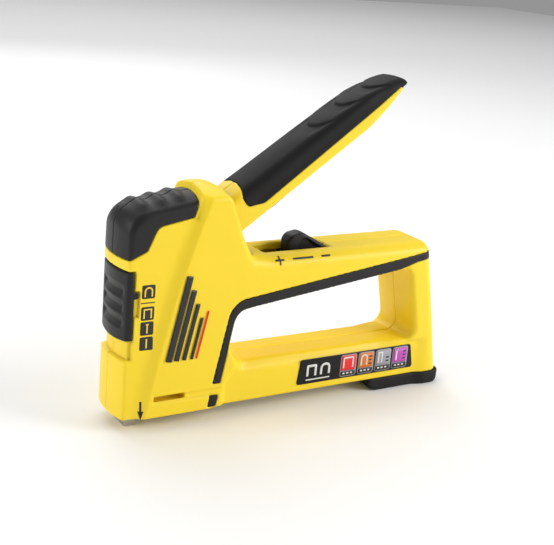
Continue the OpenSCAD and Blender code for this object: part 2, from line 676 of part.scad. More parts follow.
module housing_screws() color(STEEL) for (p = screw_places) difference() {
  union() {
    rod_y(p[0], p[1], screw_d, -body_half + 5.4, screw_head_y);
    rod_y(p[0], p[1], screw_head_d, screw_head_y - 2, screw_head_y);
  }
  // cross recess
  for (a = [0, 90]) translate([p[0], screw_head_y, p[1]]) rotate([0, a, 0])
    cube([3.6, 2.4, 0.8], center = true);
}

left_housing();
right_housing();
left_nose_cover();
right_nose_cover();
left_trim_band();
right_trim_band();
left_badge();
selector();
selector_spring();
lever_left_shell();
lever_right_shell();
lever_grip();
lever_channel();
lever_screws();
pivot_pin();
pivot_sleeve();
return_spring();
striker_guide();
nose_tip();
striker_block();
driver_blade();
lift_pin();
stop_pad();
power_spring();
spring_anchor();
adjuster_knob();
fulcrum_roller();
magazine_channel();
magazine_end();
magazine_foot();
pusher();
pusher_rod();
pusher_spring();
magazine_latch();
latch_spring();
housing_screws();
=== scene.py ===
import json
import math

import bpy
import numpy as np
from mathutils import Matrix, Vector
from mathutils.geometry import delaunay_2d_cdt

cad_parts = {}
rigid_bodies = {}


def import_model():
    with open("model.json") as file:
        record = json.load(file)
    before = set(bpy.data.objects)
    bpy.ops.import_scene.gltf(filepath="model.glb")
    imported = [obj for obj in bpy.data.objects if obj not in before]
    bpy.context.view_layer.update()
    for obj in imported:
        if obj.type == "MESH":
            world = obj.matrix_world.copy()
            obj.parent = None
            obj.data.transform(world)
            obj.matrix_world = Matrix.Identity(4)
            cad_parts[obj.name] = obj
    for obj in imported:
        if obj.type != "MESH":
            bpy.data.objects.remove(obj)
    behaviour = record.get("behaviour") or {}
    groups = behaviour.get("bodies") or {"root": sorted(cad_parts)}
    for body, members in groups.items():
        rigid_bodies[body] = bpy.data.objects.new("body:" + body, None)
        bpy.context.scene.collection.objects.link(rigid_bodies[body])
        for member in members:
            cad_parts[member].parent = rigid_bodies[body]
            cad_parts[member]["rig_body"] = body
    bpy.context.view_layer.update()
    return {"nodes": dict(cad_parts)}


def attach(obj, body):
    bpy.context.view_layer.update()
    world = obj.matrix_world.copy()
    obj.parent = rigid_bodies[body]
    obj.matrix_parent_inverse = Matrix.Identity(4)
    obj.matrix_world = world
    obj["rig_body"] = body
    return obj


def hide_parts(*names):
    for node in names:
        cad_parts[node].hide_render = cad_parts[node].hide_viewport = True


bl_info = {
    "name": "Staple gun looks",
    "version": (1, 0, 0),
    "blender": (4, 5, 0),
    "location": "3D View > Sidebar > Staple gun",
    "description": "Visible shells, prints, springs and finishes round the CAD parts of a staple gun",
    "category": "Object",
}

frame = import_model()

MM = 0.001  # the fields below are worked out in millimetres

# Sizes shared with the CAD part, in millimetres ----------------------------------------------

BODY_HALF = 17.0
NOSE_HALF = 14.0
RAIL_HALF = 15.0
WALL = 2.4
NOSE_REACH = 7.0
NOSE_CROWN = 2.4
CROWN_R = (NOSE_HALF**2 + NOSE_CROWN**2) / (2 * NOSE_CROWN)
NOSE_FRONT = -NOSE_REACH - NOSE_CROWN
NOSE_BOTTOM = 6.6
RAIL_BOTTOM = 7.2
RAIL_TOP = 27.4
HANDLE_TOP = 81.5
HUMP_TOP = 117.0
TAIL_X = 184.0
TAIL_LEAN = math.atan((18.2 - 0.4) / (HANDLE_TOP - RAIL_BOTTOM))
COVER_BOTTOM = 84.6
COVER_T = 2.2
PIVOT = (38.0, 95.0)
LEVER_SLOPE = math.radians(36.5)
LEVER_LENGTH = 125.0
LEVER_HALF = 11.5
GRIP_HALF = 12.0
SELECTOR_Z = (45.2, 79.0)
SEAM = 0.05
KNOB_X = (83.6, 105.6)
KNOB_HALF = 4.2
SLOT_HALF = KNOB_HALF + 3
CHANNEL_HALF = 7.4
RAMP_RUN = 8.0
FLARE = (163.4, 9.0)  # where the rail widens to the foot, and over what length
SCREW_PLACES = ((18, 30), (30, 48), (TAIL_X - 27.5, 74.5), (TAIL_X - 15.5, 40))
LEVER_HOLLOW_HALF = 10.2
LEVER_SCREW_Z = -7.2
SIDES = ((-1, "left"), (1, "right"))


# Distance fields --------------------------------------------------------------------------


def both(a, b, r=0.0):
    """What lies in a and in b, with edges rounded to radius r."""
    return np.minimum(-r, np.maximum(a, b)) + np.hypot(np.maximum(a + r, 0), np.maximum(b + r, 0))


def without(a, b, r=0.0):
    """a with b cut out of it."""
    return both(a, -b, r)


def box(x, y, z, low, high):
    parts = [np.maximum(l - v, v - h) for v, l, h in zip((x, y, z), low, high)]
    return np.maximum(np.maximum(parts[0], parts[1]), parts[2])


def corner(a, b, c, r, n=8):
    a, b, c = (np.array(p, float) for p in (a, b, c))
    u, v = (a - b) / np.linalg.norm(a - b), (c - b) / np.linalg.norm(c - b)
    half = math.acos(max(-1.0, min(1.0, float(u @ v)))) / 2
    if r <= 0 or half > 1.553:
        return [b]
    m = b + (u + v) / np.linalg.norm(u + v) * (r / math.sin(half))
    s, e = b + u * (r / math.tan(half)) - m, b + v * (r / math.tan(half)) - m
    way = 1.0 if s[0] * e[1] - s[1] * e[0] > 0 else -1.0
    found = []
    for i in range(n + 1):
        t = way * (math.pi - 2 * half) * i / n
        cos, sin = math.cos(t), math.sin(t)
        found.append(m + np.array([s[0] * cos - s[1] * sin, s[0] * sin + s[1] * cos]))
    return found


def rounded(points):
    """A closed outline from corners given as (u, v, radius)."""
    n = len(points)
    out = []
    for i, q in enumerate(points):
        a, c = points[i - 1], points[(i + 1) % n]
        out += corner(a[:2], q[:2], c[:2], q[2])
    return np.array(out)


def inside(u, v, outline):
    """Signed distance to a closed outline, negative inside."""
    u, v = np.broadcast_arrays(u, v)
    best = np.full(u.shape, 1e9)
    sign = np.ones(u.shape)
    for i in range(len(outline)):
        a, b = outline[i - 1], outline[i]
        e = b - a
        if abs(e[0]) + abs(e[1]) < 1e-9:
            continue
        wu, wv = u - a[0], v - a[1]
        t = np.clip((wu * e[0] + wv * e[1]) / (e @ e), 0, 1)
        best = np.minimum(best, (wu - e[0] * t) ** 2 + (wv - e[1] * t) ** 2)
        up, down, left = v >= a[1], v < b[1], e[0] * wv > e[1] * wu
        flip = (up & down & left) | ~(up | down | left)
        sign = np.where(flip, -sign, sign)
    return sign * np.sqrt(best)


def soft_step(t):
    t = np.clip(t, 0, 1)
    return t * t * (3 - 2 * t)


def skin(field, low, high, cell):
    """The zero surface of a field: one point per crossed cell, one face per crossed edge."""
    axes = [np.arange(l, h + cell, cell) + 0.0137 for l, h in zip(low, high)]
    f = field(axes[0][:, None, None], axes[1][None, :, None], axes[2][None, None, :])
    f = np.ascontiguousarray(np.broadcast_to(f, [len(a) for a in axes]))
    cells = [n - 1 for n in f.shape]
    total = np.zeros((cells[0] * cells[1] * cells[2], 3))
    count = np.zeros(len(total))

    def flat(i, j, k):
        return (i * cells[1] + j) * cells[2] + k

    quads = []
    solid = f < 0
    for ax in range(3):
        one, two = [slice(None)] * 3, [slice(None)] * 3
        one[ax], two[ax] = slice(None, -1), slice(1, None)
        cross = solid[tuple(one)] != solid[tuple(two)]
        o1, o2 = [(1, 2), (2, 0), (0, 1)][ax]
        idx = np.array(np.nonzero(cross))
        keep = (idx[o1] > 0) & (idx[o1] < f.shape[o1] - 1)
        keep &= (idx[o2] > 0) & (idx[o2] < f.shape[o2] - 1)
        idx = idx[:, keep]
        nxt = idx.copy()
        nxt[ax] += 1
        f0, f1 = f[tuple(idx)], f[tuple(nxt)]
        t = f0 / (f0 - f1)
        place = np.stack([axes[a][idx[a]] for a in range(3)], 1)
        place[:, ax] += t * cell
        ring = []
        for d1, d2 in ((0, 0), (-1, 0), (-1, -1), (0, -1)):
            c = idx.copy()
            c[o1] += d1
            c[o2] += d2
            ring.append(flat(*c))
        for r in ring:
            for a in range(3):
                total[:, a] += np.bincount(r, place[:, a], len(total))
            count += np.bincount(r, minlength=len(total))
        quad = np.stack(ring, 1)
        quad[~solid[tuple(idx)]] = quad[~solid[tuple(idx)]][:, ::-1]
        quads.append(quad)
    used = np.nonzero(count)[0]
    number = np.full(len(total), -1)
    number[used] = np.arange(len(used))
    points = total[used] / count[used][:, None]
    return points, number[np.concatenate(quads)]


# The gun's own shapes ----------------------------------------------------------------------


def ramp_x(z):
    h = z - NOSE_BOTTOM
    return 3.5 + 0.17 * h + 0.00098 * h * h


NOTCH = rounded(
    [(44, -20, 0), (230, -20, 0), (230, RAIL_TOP - 2, 0), (167, RAIL_TOP + 1.4, 8), (52, RAIL_TOP + 2, 10),
        (44, 19, 3)]
)


def half_width(x, z):
    """Half the gun's width: the nose, the ramp that rises from it, the body and the narrower rail."""
    t = np.clip((x - ramp_x(z) + RAMP_RUN) / RAMP_RUN, 0, 1)
    w = NOSE_HALF + (BODY_HALF - NOSE_HALF) * t**2.2
    step = soft_step(-inside(x, z, NOTCH) / np.interp(x, [44, 56], [2.2, 3.6]))
    return w - (BODY_HALF - RAIL_HALF) * step * (1 - 0.9 * soft_step((x - FLARE[0]) / FLARE[1]))


OPENING = rounded(
    [(45, RAIL_TOP, 12), (162.5, RAIL_TOP, 6), (153.5, 68.8, 5), (60, 57, 16), (49.6, 55.4, 7)]
)
BAND = rounded(
    [(38.5, 19.5, 0.6), (42.9, 19.5, 0.6), (49.2, 54.8, 8.5), (60, 56.7, 14), (TAIL_X - 38, 68, 3),
     (TAIL_X - 27, 71.4, 6), (TAIL_X - 8, 74.2, 0.5), (TAIL_X - 9, 77.9, 0.5), (46.5, 60.6, 11)]
)
BAND_TAIL = rounded([(37.6, 14, 0.6), (42.4, 13.6, 0.6), (41, 7.6, 0.6), (36.6, 7.6, 0.6)])
COVER = rounded(
    [(-20, 130, 0), (29.6, 118, 0), (24.2, 103, 1), (6.5, 99.6, 5), (1.5, 88.6, 2),
        (-NOSE_REACH, COVER_BOTTOM, 0), (-20, COVER_BOTTOM, 0)]
)
BODY = rounded(
    [(-6, -30, 0), (-6, 100, 0), (25.6, 103, 0), (27.2, 114.6, 2), (30.5, HUMP_TOP + 0.3, 4),
        (36.5, HUMP_TOP - 0.2, 3),
     (41.3, HUMP_TOP - 2.6, 4), (52, 91.4, 6), (58, HANDLE_TOP + 1.6, 5), (67, HANDLE_TOP, 12),
     (TAIL_X - 17.4, HANDLE_TOP, 8), (TAIL_X + 6, -30, 0)]
)


def nose_field(x, y, z):
    """The nose with its cover: round front, crowned top with three finger crests."""
    front = np.hypot(x - CROWN_R - NOSE_FRONT, y) - CROWN_R
    side = np.abs(y) - NOSE_HALF
    crest = np.zeros_like(x)
    for peak in (0.9, 10.0, 19.0):
        crest = crest + np.exp(-(((x - peak) / 2.5) ** 2))
    fade = 1 - soft_step((np.abs(y) - 7.0) / 5.0)
    top = 108.35 + 0.17 * x + 1.5 * crest * fade - 3.3 * (np.abs(y) / NOSE_HALF) ** 2.2
    edge = np.interp(z, [82, 103], [0.7, 2.6])
    crown = both(front, (z - top) * 0.97, 8.5)
    return both(both(crown, side, edge), x - 36, 0)


def hump_field(x, y, z):
    """The wide body: hump, handle, rear column and rail before anything is cut from it."""
    width = half_width(x, z)
    side = (np.abs(y) - width) * 0.93
    r = np.interp(x, [44, 58], [2.4, 8.0])
    solid = both(inside(x, z, BODY), side, r)
    crown = z - (HUMP_TOP + 0.1 - 5.4 * (np.abs(y) / BODY_HALF) ** 1.7)
    solid = both(solid, crown * 0.92, 2.0)
    # the ramp's own front, inside the nose
    solid = both(solid, ramp_x(z) - RAMP_RUN - x, 0)
    lean = (x - TAIL_X + 0.4) * math.cos(TAIL_LEAN) + (z - RAIL_BOTTOM) * math.sin(TAIL_LEAN)
    tail = both(lean, np.abs(y) - BODY_HALF - 0.3, 5.2)
    return both(solid, tail, 2.0)


def outer_field(x, y, z):
    """Everything yellow and black on the outside of the housing, as one solid."""
    solid = np.minimum(nose_field(x, y, z), hump_field(x, y, z))
    bottom = np.interp(x, [38, 42], [NOSE_BOTTOM, RAIL_BOTTOM]) - z
    return both(solid, bottom, 0.9)


def opening_field(x, y, z):
    """The hand opening, with a softer edge at the rear column than along the rail."""
    return inside(x, z, OPENING) + 0.9 * (1 - (y / BODY_HALF) ** 2)


def lever_bay(x, y, z):
    narrow = both(inside(x, z, rounded([(8, 78, 2), (40, 78, 4), (40, 106, 0), (8, 103, 2)])), np.abs(y) - 12,
        0.4)
    wide = inside(
        x, z,
        rounded([(30, 78, 0), (44, 78, 4), (61, 83.5, 0), (61, 124, 0), (42, 124, 0), (40.4, 112.6, 0),
            (34, 112.6, 2), (30, 104, 2)]),
    )
    return np.minimum(narrow, both(wide, np.abs(y) - 14, 1.0))


def cavities(x, y, z):
    """Where the works run inside the housing."""
    a = np.abs(y)
    half = NOSE_HALF - WALL
    found = box(x, a, z, (-2.8, -9, 22.6), (12.6, half, 104))
    for low, high in (
        ((3.6, -9, -5), (TAIL_X + 5, CHANNEL_HALF + 0.5, 22.4)),
        ((-3.2, -9, -5), (3.8, 7.0, 23)),
        ((10, -9, 63), (62, 8, 80)),
        ((58, -9, 64), (72, BODY_HALF - 3, 77.5)),
        ((70, -9, 66), (TAIL_X - 42, BODY_HALF - 3, 77.5)),
        ((KNOB_X[0] - 16.4, -9, 76), (KNOB_X[1] + 0.4, SLOT_HALF, HANDLE_TOP + 5)),
        ((TAIL_X - 46, -9, 69.5), (TAIL_X - 31.4, 9, 77.8)),
    ):
        found = np.minimum(found, box(x, a, z, low, high))
    return np.minimum(found, lever_bay(x, y, z))


def housing_field(side):
    def field(x, y, z):
        a = np.abs(y)
        outer = outer_field(x, y, z)
        nose = nose_field(x, y, z)
        round_edge = np.interp(x, [45, 60, 148, 158], [2.4, 1.9, 1.9, 2.6])
        along = soft_step((x - 46) / 12) * (1 - soft_step((x - 138) / 20))
        round_edge = round_edge + 4.6 * (1 - soft_step((z - RAIL_TOP - 1) / 6)) * along
        solid = without(outer, opening_field(x, y, z), round_edge)
        # step under the cover
        solid = without(solid, both(inside(x, z, COVER) - 0.12, -(nose + COVER_T + 0.1)), 0.15)
        # recess of the selector with its pointer slots
        depth = -(nose + 2.3)
        recess = both(both(36.4 - z, z - 79.5), both(x + NOSE_REACH - 3.5, depth, 0.3), 0.3)
        slot = box(x, a, z, (-20, NOSE_HALF - 1.4, 57.4), (-NOSE_REACH + 5.8, 20, 70))
        solid = without(solid, np.minimum(recess, slot), 0.45)
        # staple window and the groove that runs on from it
        ledge = 13.4 + 0.5 * np.maximum(0, a - 13)
        groove = box(x, a, z, (7.6, 15.9, 13.4), (45.5, 30, 17.6))
        window = both(box(x, a, z, (7.6, 9.8, 0), (24, 30, 17.6)), ledge - z)
        solid = without(solid, np.minimum(groove, window), 0.3)
        # grooves that the bands lie in
        for outline in (BAND, BAND_TAIL):
            solid = without(solid, both(inside(x, z, outline) - 0.07, -(outer + 1.05)), 0.12)
        solid = without(solid, cavities(x, y, z), 0.25)
        # soft lip round the slot of the power adjuster
        slot = np.maximum(np.maximum(KNOB_X[0] - 17 - x, x - KNOB_X[1] - 1), a - SLOT_HALF - 0.5)
        solid = without(solid, both(slot, HANDLE_TOP - 0.5 - z), 0.8)
        if side > 0:
            for sx, sz in SCREW_PLACES:
                hole = both(np.hypot(x - sx, z - sz) - 3.7, BODY_HALF - 5.3 - a)
                solid = without(solid, hole, 0.3)
        return both(solid, SEAM - side * y, 0.5)

    return field


def cover_field(side):
    def field(x, y, z):
        nose = nose_field(x, y, z)
        solid = both(nose, inside(x, z, COVER), 0.35)
        solid = both(solid, -(nose + COVER_T), 0.2)
        return both(solid, SEAM - side * y, 0.45)

    return field


def band_field(side):
    def field(x, y, z):
        outer = outer_field(x, y, z)
        strip = np.minimum(inside(x, z, BAND), inside(x, z, BAND_TAIL))
        solid = both(without(outer, opening_field(x, y, z), 1.2), strip, 0.3)
        solid = both(solid, -(outer + 1.0), 0.1)
        return both(solid, SEAM - side * y, 0.1)

    return field


def selector_field(x, y, z):
    """The selector: a thin plate bent round the nose front, scooped between its finger ridges."""
    nose = np.hypot(x - CROWN_R - NOSE_FRONT, y) - CROWN_R
    a = np.abs(y)
    outer = both(nose, a - NOSE_HALF, 1.3)
    low, high = SELECTOR_Z
    bulge = 0.9 * (1 - (a / NOSE_HALF) ** 2)
    ends = both(low + 0.9 - bulge - z, z - high, 0.8)
    back = x + NOSE_REACH - 3.3 + 0.02 * (z - 60)
    solid = both(both(outer, ends, 0.9), back, 0.8)
    for i in range(3):
        zc = low + 9.5 + i * 7.4
        t = (z - zc) / 7.4
        dip = 1.25 * np.clip(1 - np.abs(t - 0.04) / 0.5, 0, 1) ** 0.8
        dip = np.where(t > 0, dip * np.clip(1 - t / 0.46, 0, 1) ** 0.4, dip)
        dip = dip * soft_step((NOSE_HALF - 2.2 - a) / 3.0)
        solid = np.maximum(solid, np.where(np.abs(t) < 0.5, outer + dip, -1e3))
    tab = box(x, a, z, (-6, NOSE_HALF - 1.2, 66.3), (-NOSE_REACH + 5.4, NOSE_HALF, 69.5))
    tab = both(tab, np.hypot(x + 3.2, z - 67.9) - 2.1, 0.3)
    solid = np.minimum(solid, tab)
    inner = outer + 2.0
    return both(solid, -inner, 0.3)


# Lever, drawn along its own axis from the pivot ---------------------------------------------

UNDER = -10.8
SPLIT = -4.7
SHELL = rounded(
    [(-10, -8.6, 8), (LEVER_LENGTH - 31, UNDER, 16), (LEVER_LENGTH - 17, -8.9, 16),
        (LEVER_LENGTH - 5, -6.8, 6),
     (LEVER_LENGTH + 0.5, -5.9, 0.6), (LEVER_LENGTH + 0.5, SPLIT + 3, 0), (30, SPLIT + 3, 0), (30, 12, 0),
     (-3, 9.8, 8), (-10, 6, 6)]
)
GRIP_TOP = np.array(
    [(-20, 9.4), (14, 8.7), (22, 8.4), (30, 7.9), (62, 6.6), (90, 5.4), (100, 4.6), (108, 3.2), (115, 1.3),
        (119, -0.1), (122, -1.5), (124.2, -3.4), (125, -5.4), (126, -8.0)]
)
GRIP_SIDE = rounded(
    [(27, SPLIT, 4), (LEVER_LENGTH - 6, SPLIT, 1), (LEVER_LENGTH - 2.6, -9, 0), (LEVER_LENGTH + 2, -9, 0),
     (LEVER_LENGTH + 2, 30, 0), (24.5, 30, 0), (23.4, 10.5, 3), (18.9, 4.5, 3), (19.2, -0.8, 2.5)]
)
SCOOPS = (70.0, 88.0, 105.0)


def lever_top(x):
    return np.interp(x, GRIP_TOP[:, 0], GRIP_TOP[:, 1])


def lever_outer(x, y, z):
    """The whole lever's outside, with rounded upper edges and a slightly waisted flank."""
    a = np.abs(y)
    top = lever_top(x) - 1.6 * (a / GRIP_HALF) ** 2
    for c in SCOOPS:
        t = (x - c - 9.0 * (a / 9.5) ** 2.2) / 9.0
        wave = np.where(t < 0, np.exp(-((t / 0.9) ** 2)), np.exp(-((t / 0.12) ** 2)))
        top = top - 0.9 * wave * (1 - soft_step((a - 6.5) / 4.0))
    flank = 0.55 * np.exp(-(((z + 1.6) / 2.3) ** 2))
    flank = flank * soft_step((x - 20) / 6) * (1 - soft_step((x - 104) / 12))
    taper = 1.6 * soft_step((x - 96) / 30)
    side = a - (GRIP_HALF - taper - flank)
    return both(side, (z - top) * 0.97, 4.2)


def grip_region(x, y, z):
    # the grip's front edge runs further back in the middle than on the flanks
    back = 1.2 * (1 - soft_step((np.abs(y) - 3.0) / 8.0)) * soft_step((z - 2.0) / 4.0)
    return inside(x - back, z + 0 * y, GRIP_SIDE)


def grip_field(x, y, z):
    solid = both(lever_outer(x, y, z), inside(x, z, GRIP_END), 0.8)
    solid = both(solid, grip_region(x, y, z), 0.35)
    hollow = box(x, np.abs(y), z, (10, -30, -30), (LEVER_LENGTH - 31, LEVER_HOLLOW_HALF, 0.2))
    hollow = np.minimum(hollow, box(x, np.abs(y), z, (80, -30, -30), (LEVER_LENGTH - 22, 9.0, 0.2)))
    return without(solid, hollow, 0.1)


GRIP_END = rounded(
    [(-40, 40, 0), (-40, -40, 0), (LEVER_LENGTH - 14, -40, 0), (LEVER_LENGTH - 7, -8.4, 0),
        (LEVER_LENGTH - 1.4, -7.2, 1.6),
     (LEVER_LENGTH + 0.5, -3.6, 2), (LEVER_LENGTH - 5, 40, 0)]
)


def lever_field(side):
    def field(x, y, z):
        a = np.abs(y)
        outer = both(lever_outer(x, y, z), a - LEVER_HALF, 0.8)
        solid = both(outer, inside(x, z, SHELL), 1.0)
        solid = without(solid, grip_region(x, y, z) - 0.08, 0.2)
        long = np.maximum(x - LEVER_LENGTH + 22, z + 0.3)
        hollow = np.maximum(np.minimum(long, x - 12), -40 - z)
        hollow = np.maximum(hollow, a - LEVER_HOLLOW_HALF)
        solid = without(solid, hollow, 0.3)
        solid = without(solid, np.hypot(x, z) - 3.7, 0.3)
        return both(solid, SEAM - side * y, 0.25)

    return field


def on_lever(points):
    c, s = math.cos(LEVER_SLOPE), math.sin(LEVER_SLOPE)
    out = points.copy()
    out[:, 0] = PIVOT[0] + points[:, 0] * c - points[:, 2] * s
    out[:, 2] = PIVOT[1] + points[:, 0] * s + points[:, 2] * c
    return out


def knob_field(x, y, z):
    """The adjuster's knob: steep round front, long slope to the rear, hollow flanks."""
    u, v = x - KNOB_X[0], z - HANDLE_TOP
    a = np.abs(y)
    side = rounded([(-1.6, -3, 0), (-1.3, 2.4, 3.6), (1.8, 6.1, 4), (7.6, 7.2, 5), (22, -0.6, 3),
        (22, -3, 0)])
    top = 0.35 * (a / KNOB_HALF) ** 2
    solid = both(inside(u + 0 * y, v + top, side), a - KNOB_HALF, 1.1)
    plan = np.hypot(np.maximum(2.6 - u, 0), np.maximum(a - 0.4, 0)) - 4.2
    solid = both(solid, plan, 0.5)
    hollow = rounded([(4.4, -4, 0), (7.4, 3.6, 3), (10.2, 3.8, 2), (18.5, -1.4, 2), (18.5, -4, 0)])
    solid = without(solid, both(inside(u, v, hollow), KNOB_HALF - 1.4 - a), 0.7)
    plate = box(x, a, z, (KNOB_X[0] + 0.4, -9, 76), (KNOB_X[1] - 0.4, SLOT_HALF + 2, 77.2))
    ears = box(x, a, z, (89, 6.6, 72.2), (95, 8, 76.5))
    return np.minimum(solid, np.minimum(plate, ears))


def foot_field(x, y, z):
    a = np.abs(y)
    front = TAIL_X - 48
    side = rounded(
        [(front - 0.1, RAIL_BOTTOM - 0.15, 0), (front, 3.4, 2.5), (front + 3.2, 0, 3.0), (TAIL_X - 6, 0, 2),
            (TAIL_X - 0.6, 2.2, 3), (TAIL_X - 0.5, RAIL_BOTTOM - 0.15, 0)]
    )
    wide = RAIL_HALF + 0.9 * (BODY_HALF - RAIL_HALF) * soft_step((x - FLARE[0]) / FLARE[1])
    solid = both(inside(x, z, side), a - wide, 1.1)
    plan = both(x - TAIL_X + 0.4, a - wide - 0.3, 7.0)
    solid = both(solid, plan, 0.8)
    # shallow tread across the sole
    tread = 0.35 * (0.5 + 0.5 * np.cos((x - front) * 2 * math.pi / 4.2)) * soft_step((12 - a) / 1.5)
    tread = tread * soft_step((x - front - 8) / 3) * soft_step((TAIL_X - 12 - x) / 3)
    solid = both(solid, tread - z, 0.3)
    return without(solid, box(x, a, z, (TAIL_X - 7, -9, 3), (TAIL_X + 9, 5.3, 30)), 0.3)


# Prints ------------------------------------------------------------------------------------


def stroke(u0, v0, u1, v1, width, round_end=False):
    """The outline of a straight printed line."""
    d = np.array([u1 - u0, v1 - v0], float)
    d /= np.linalg.norm(d)
    n = np.array([-d[1], d[0]]) * width / 2
    a, b = np.array([u0, v0]), np.array([u1, v1])
    r = width * 0.49 if round_end else width * 0.12
    return rounded([(*(a + n), r), (*(a - n), r), (*(b - n), r), (*(b + n), r)])


def tile(u0, v0, u1, v1, r):
    return rounded([(u0, v0, r), (u1, v0, r), (u1, v1, r), (u0, v1, r)])


def arch(u0, v0, u1, v1, width, r):
    """A staple seen from the front: two legs and a crown, as one outline."""
    i = max(0.05, r - width)
    return rounded(
        [(u0, v0, 0.1), (u0, v1, r), (u1, v1, r), (u1, v0, 0.1), (u1 - width, v0, 0.1),
            (u1 - width, v1 - width, i), (u0 + width, v1 - width, i), (u0 + width, v0, 0.1)]
    )


def sheet_of(outlines, place, thick, pitch=1.0):
    """Thin closed plates with the given flat outlines, bent onto a surface by place(u, v, depth)."""
    points, faces = [], []
    for outline in outlines:
        edge = []
        for i in range(len(outline)):
            a, b = outline[i - 1], outline[i]
            steps = max(1, int(np.linalg.norm(b - a) / pitch))
            edge += [a + (b - a) * k / steps for k in range(steps)]
        edge = [p for i, p in enumerate(edge) if np.linalg.norm(p - edge[i - 1]) > 1e-4]
        n = len(edge)
        low, high = np.min(edge, 0), np.max(edge, 0)
        across, up = (np.arange(low[k] + pitch / 2, high[k], pitch) for k in (0, 1))
        grid = [np.array([u, v]) for u in across for v in up]
        if grid:
            g = np.array(grid)
            grid = list(g[inside(g[:, 0], g[:, 1], np.array(edge)) < -pitch * 0.35])
        flat = [Vector(p) for p in edge + grid]
        verts, _, tris, *_ = delaunay_2d_cdt(flat, [(i, (i + 1) % n) for i in range(n)], [], 1, 1e-6)
        verts = np.array([list(v) for v in verts])
        tris = [list(t) for t in tris]
        area = sum(np.cross(verts[t[1]] - verts[t[0]], verts[t[2]] - verts[t[0]]) for t in tris)
        if area < 0:
            tris = [t[::-1] for t in tris]
        base, m = len(points), len(verts)
        points += [place(u, v, 0.0) for u, v in verts] + [place(u, v, thick) for u, v in verts]
        faces += [[base + i for i in t] for t in tris]
        faces += [[base + m + i for i in t[::-1]] for t in tris]
        sides = {}
        for t in tris:
            for i in range(3):
                a, b = t[i], t[(i + 1) % 3]
                sides[(a, b)] = sides.get((a, b), 0) + 1
        for a, b in sides:
            if (b, a) not in sides:
                faces.append([base + b, base + a, base + m + a, base + m + b])
    return np.array(points), faces


def on_left(lift):
    """On the gun's left flank, lift above it; u runs along X and v up."""

    def place(u, v, depth):
        return (u, -(float(half_width(np.array([u]), np.array([v]))[0]) + lift - depth), v)

    return place


def on_shoulder(lift):
    """On the handle's left shoulder: v is the height that the shoulder reaches there."""

    def place(u, v, depth):
        phi = math.acos(max(-1.0, min(1.0, (v - HANDLE_TOP + 8) / 8)))
        r = 8 + lift - depth
        return (u, -(BODY_HALF - 8 + r * math.sin(phi)), HANDLE_TOP - 8 + r * math.cos(phi))

    return place


def on_badge(lift):
    def place(u, v, depth):
        return (u, -(RAIL_HALF + lift - depth), v)

    return place


# Materials ---------------------------------------------------------------------------------


class Value:
    """A shader socket that can be used in a Python expression."""

    def __init__(self, shader, socket):
        self.shader, self.socket = shader, socket

    def _math(self, operation, *values):
        return self.shader.node("ShaderNodeMath", {"operation": operation}, values)

    def __add__(self, other):
        return self._math("ADD", self, other)

    def __radd__(self, other):
        return self._math("ADD", other, self)

    def __sub__(self, other):
        return self._math("SUBTRACT", self, other)

    def __rsub__(self, other):
        return self._math("SUBTRACT", other, self)

    def __mul__(self, other):
        return self._math("MULTIPLY", self, other)

    def limited(self, low=0.0, high=1.0):
        return self._math("MAXIMUM", self._math("MINIMUM", self, high), low)


class Finish:
    """One procedural material."""

    def __init__(self, name):
        self.material = bpy.data.materials.new(name)
        self.material.use_nodes = True
        self.tree = self.material.node_tree
        self.tree.nodes.clear()
        self.out = self.tree.nodes.new("ShaderNodeOutputMaterial")
        self.shader = self.tree.nodes.new("ShaderNodeBsdfPrincipled")
        self.tree.links.new(self.shader.outputs[0], self.out.inputs[0])
        self.place = self.node("ShaderNodeTexCoord", {}, (), "Object")

    def node(self, kind, settings, values, output=0):
        """Adds a node: its settings first, then a value or link for each socket, by order or by name."""
        made = self.tree.nodes.new(kind)
        for key, value in settings.items():
            setattr(made, key, value)
        pairs = values.items() if isinstance(values, dict) else enumerate(values)
        for key, value in pairs:
            if value is not None:
                self.feed(made.inputs[key], value)
        return Value(self, made.outputs[output])

    def feed(self, socket, value):
        if isinstance(value, Value):
            self.tree.links.new(value.socket, socket)
        else:
            socket.default_value = value

    def noise(self, size, detail=2.0, rough=0.5, stretch=(1, 1, 1), seed=0.0):
        """Noise from 0 to 1 whose spots are size millimetres wide, stretched along the axes."""
        scale = [1.0 / s for s in stretch]
        place = self.node("ShaderNodeMapping", {}, {"Vector": self.place, "Location": (seed, seed * 0.7,
            -seed), "Scale": scale})
        return self.node(
            "ShaderNodeTexNoise", {"noise_dimensions": "3D"},
            {"Vector": place, "Scale": 1000.0 / size, "Detail": detail, "Roughness": rough},
        )

    def spots(self, size, seed=0.0):
        place = self.node("ShaderNodeMapping", {}, {"Vector": self.place, "Location": (seed, -seed, seed)})
        return self.node("ShaderNodeTexVoronoi", {"feature": "F1"}, {"Vector": place, "Scale": 1000.0 / size},
            "Distance")

    def attribute(self, name):
        return self.node("ShaderNodeAttribute", {"attribute_name": name}, (), "Fac")

    def blend(self, amount, low, high):
        made = self.tree.nodes.new("ShaderNodeMix")
        made.data_type = "RGBA"
        sockets = [s for s in made.inputs if s.enabled and s.type == "RGBA"]
        self.feed(made.inputs[0], amount)
        for socket, colour in zip(sockets, (low, high)):
            self.feed(socket, colour if isinstance(colour, Value) else (*colour[:3], 1.0))
        return Value(self, [s for s in made.outputs if s.type == "RGBA"][0])

    def bump(self, height, depth, strength=1.0):
        """A normal from a height whose full range is depth millimetres."""
        return self.node("ShaderNodeBump", {}, {"Strength": strength, "Distance": depth * MM,
            "Height": height})

    def set(self, **values):
        for key, value in values.items():
            name = key.replace("_", " ").title().replace("Ior", "IOR")
            if name == "Base Color" and not isinstance(value, Value):
                value = (*value[:3], 1.0)
            self.feed(self.shader.inputs[name], value)
        return self.material


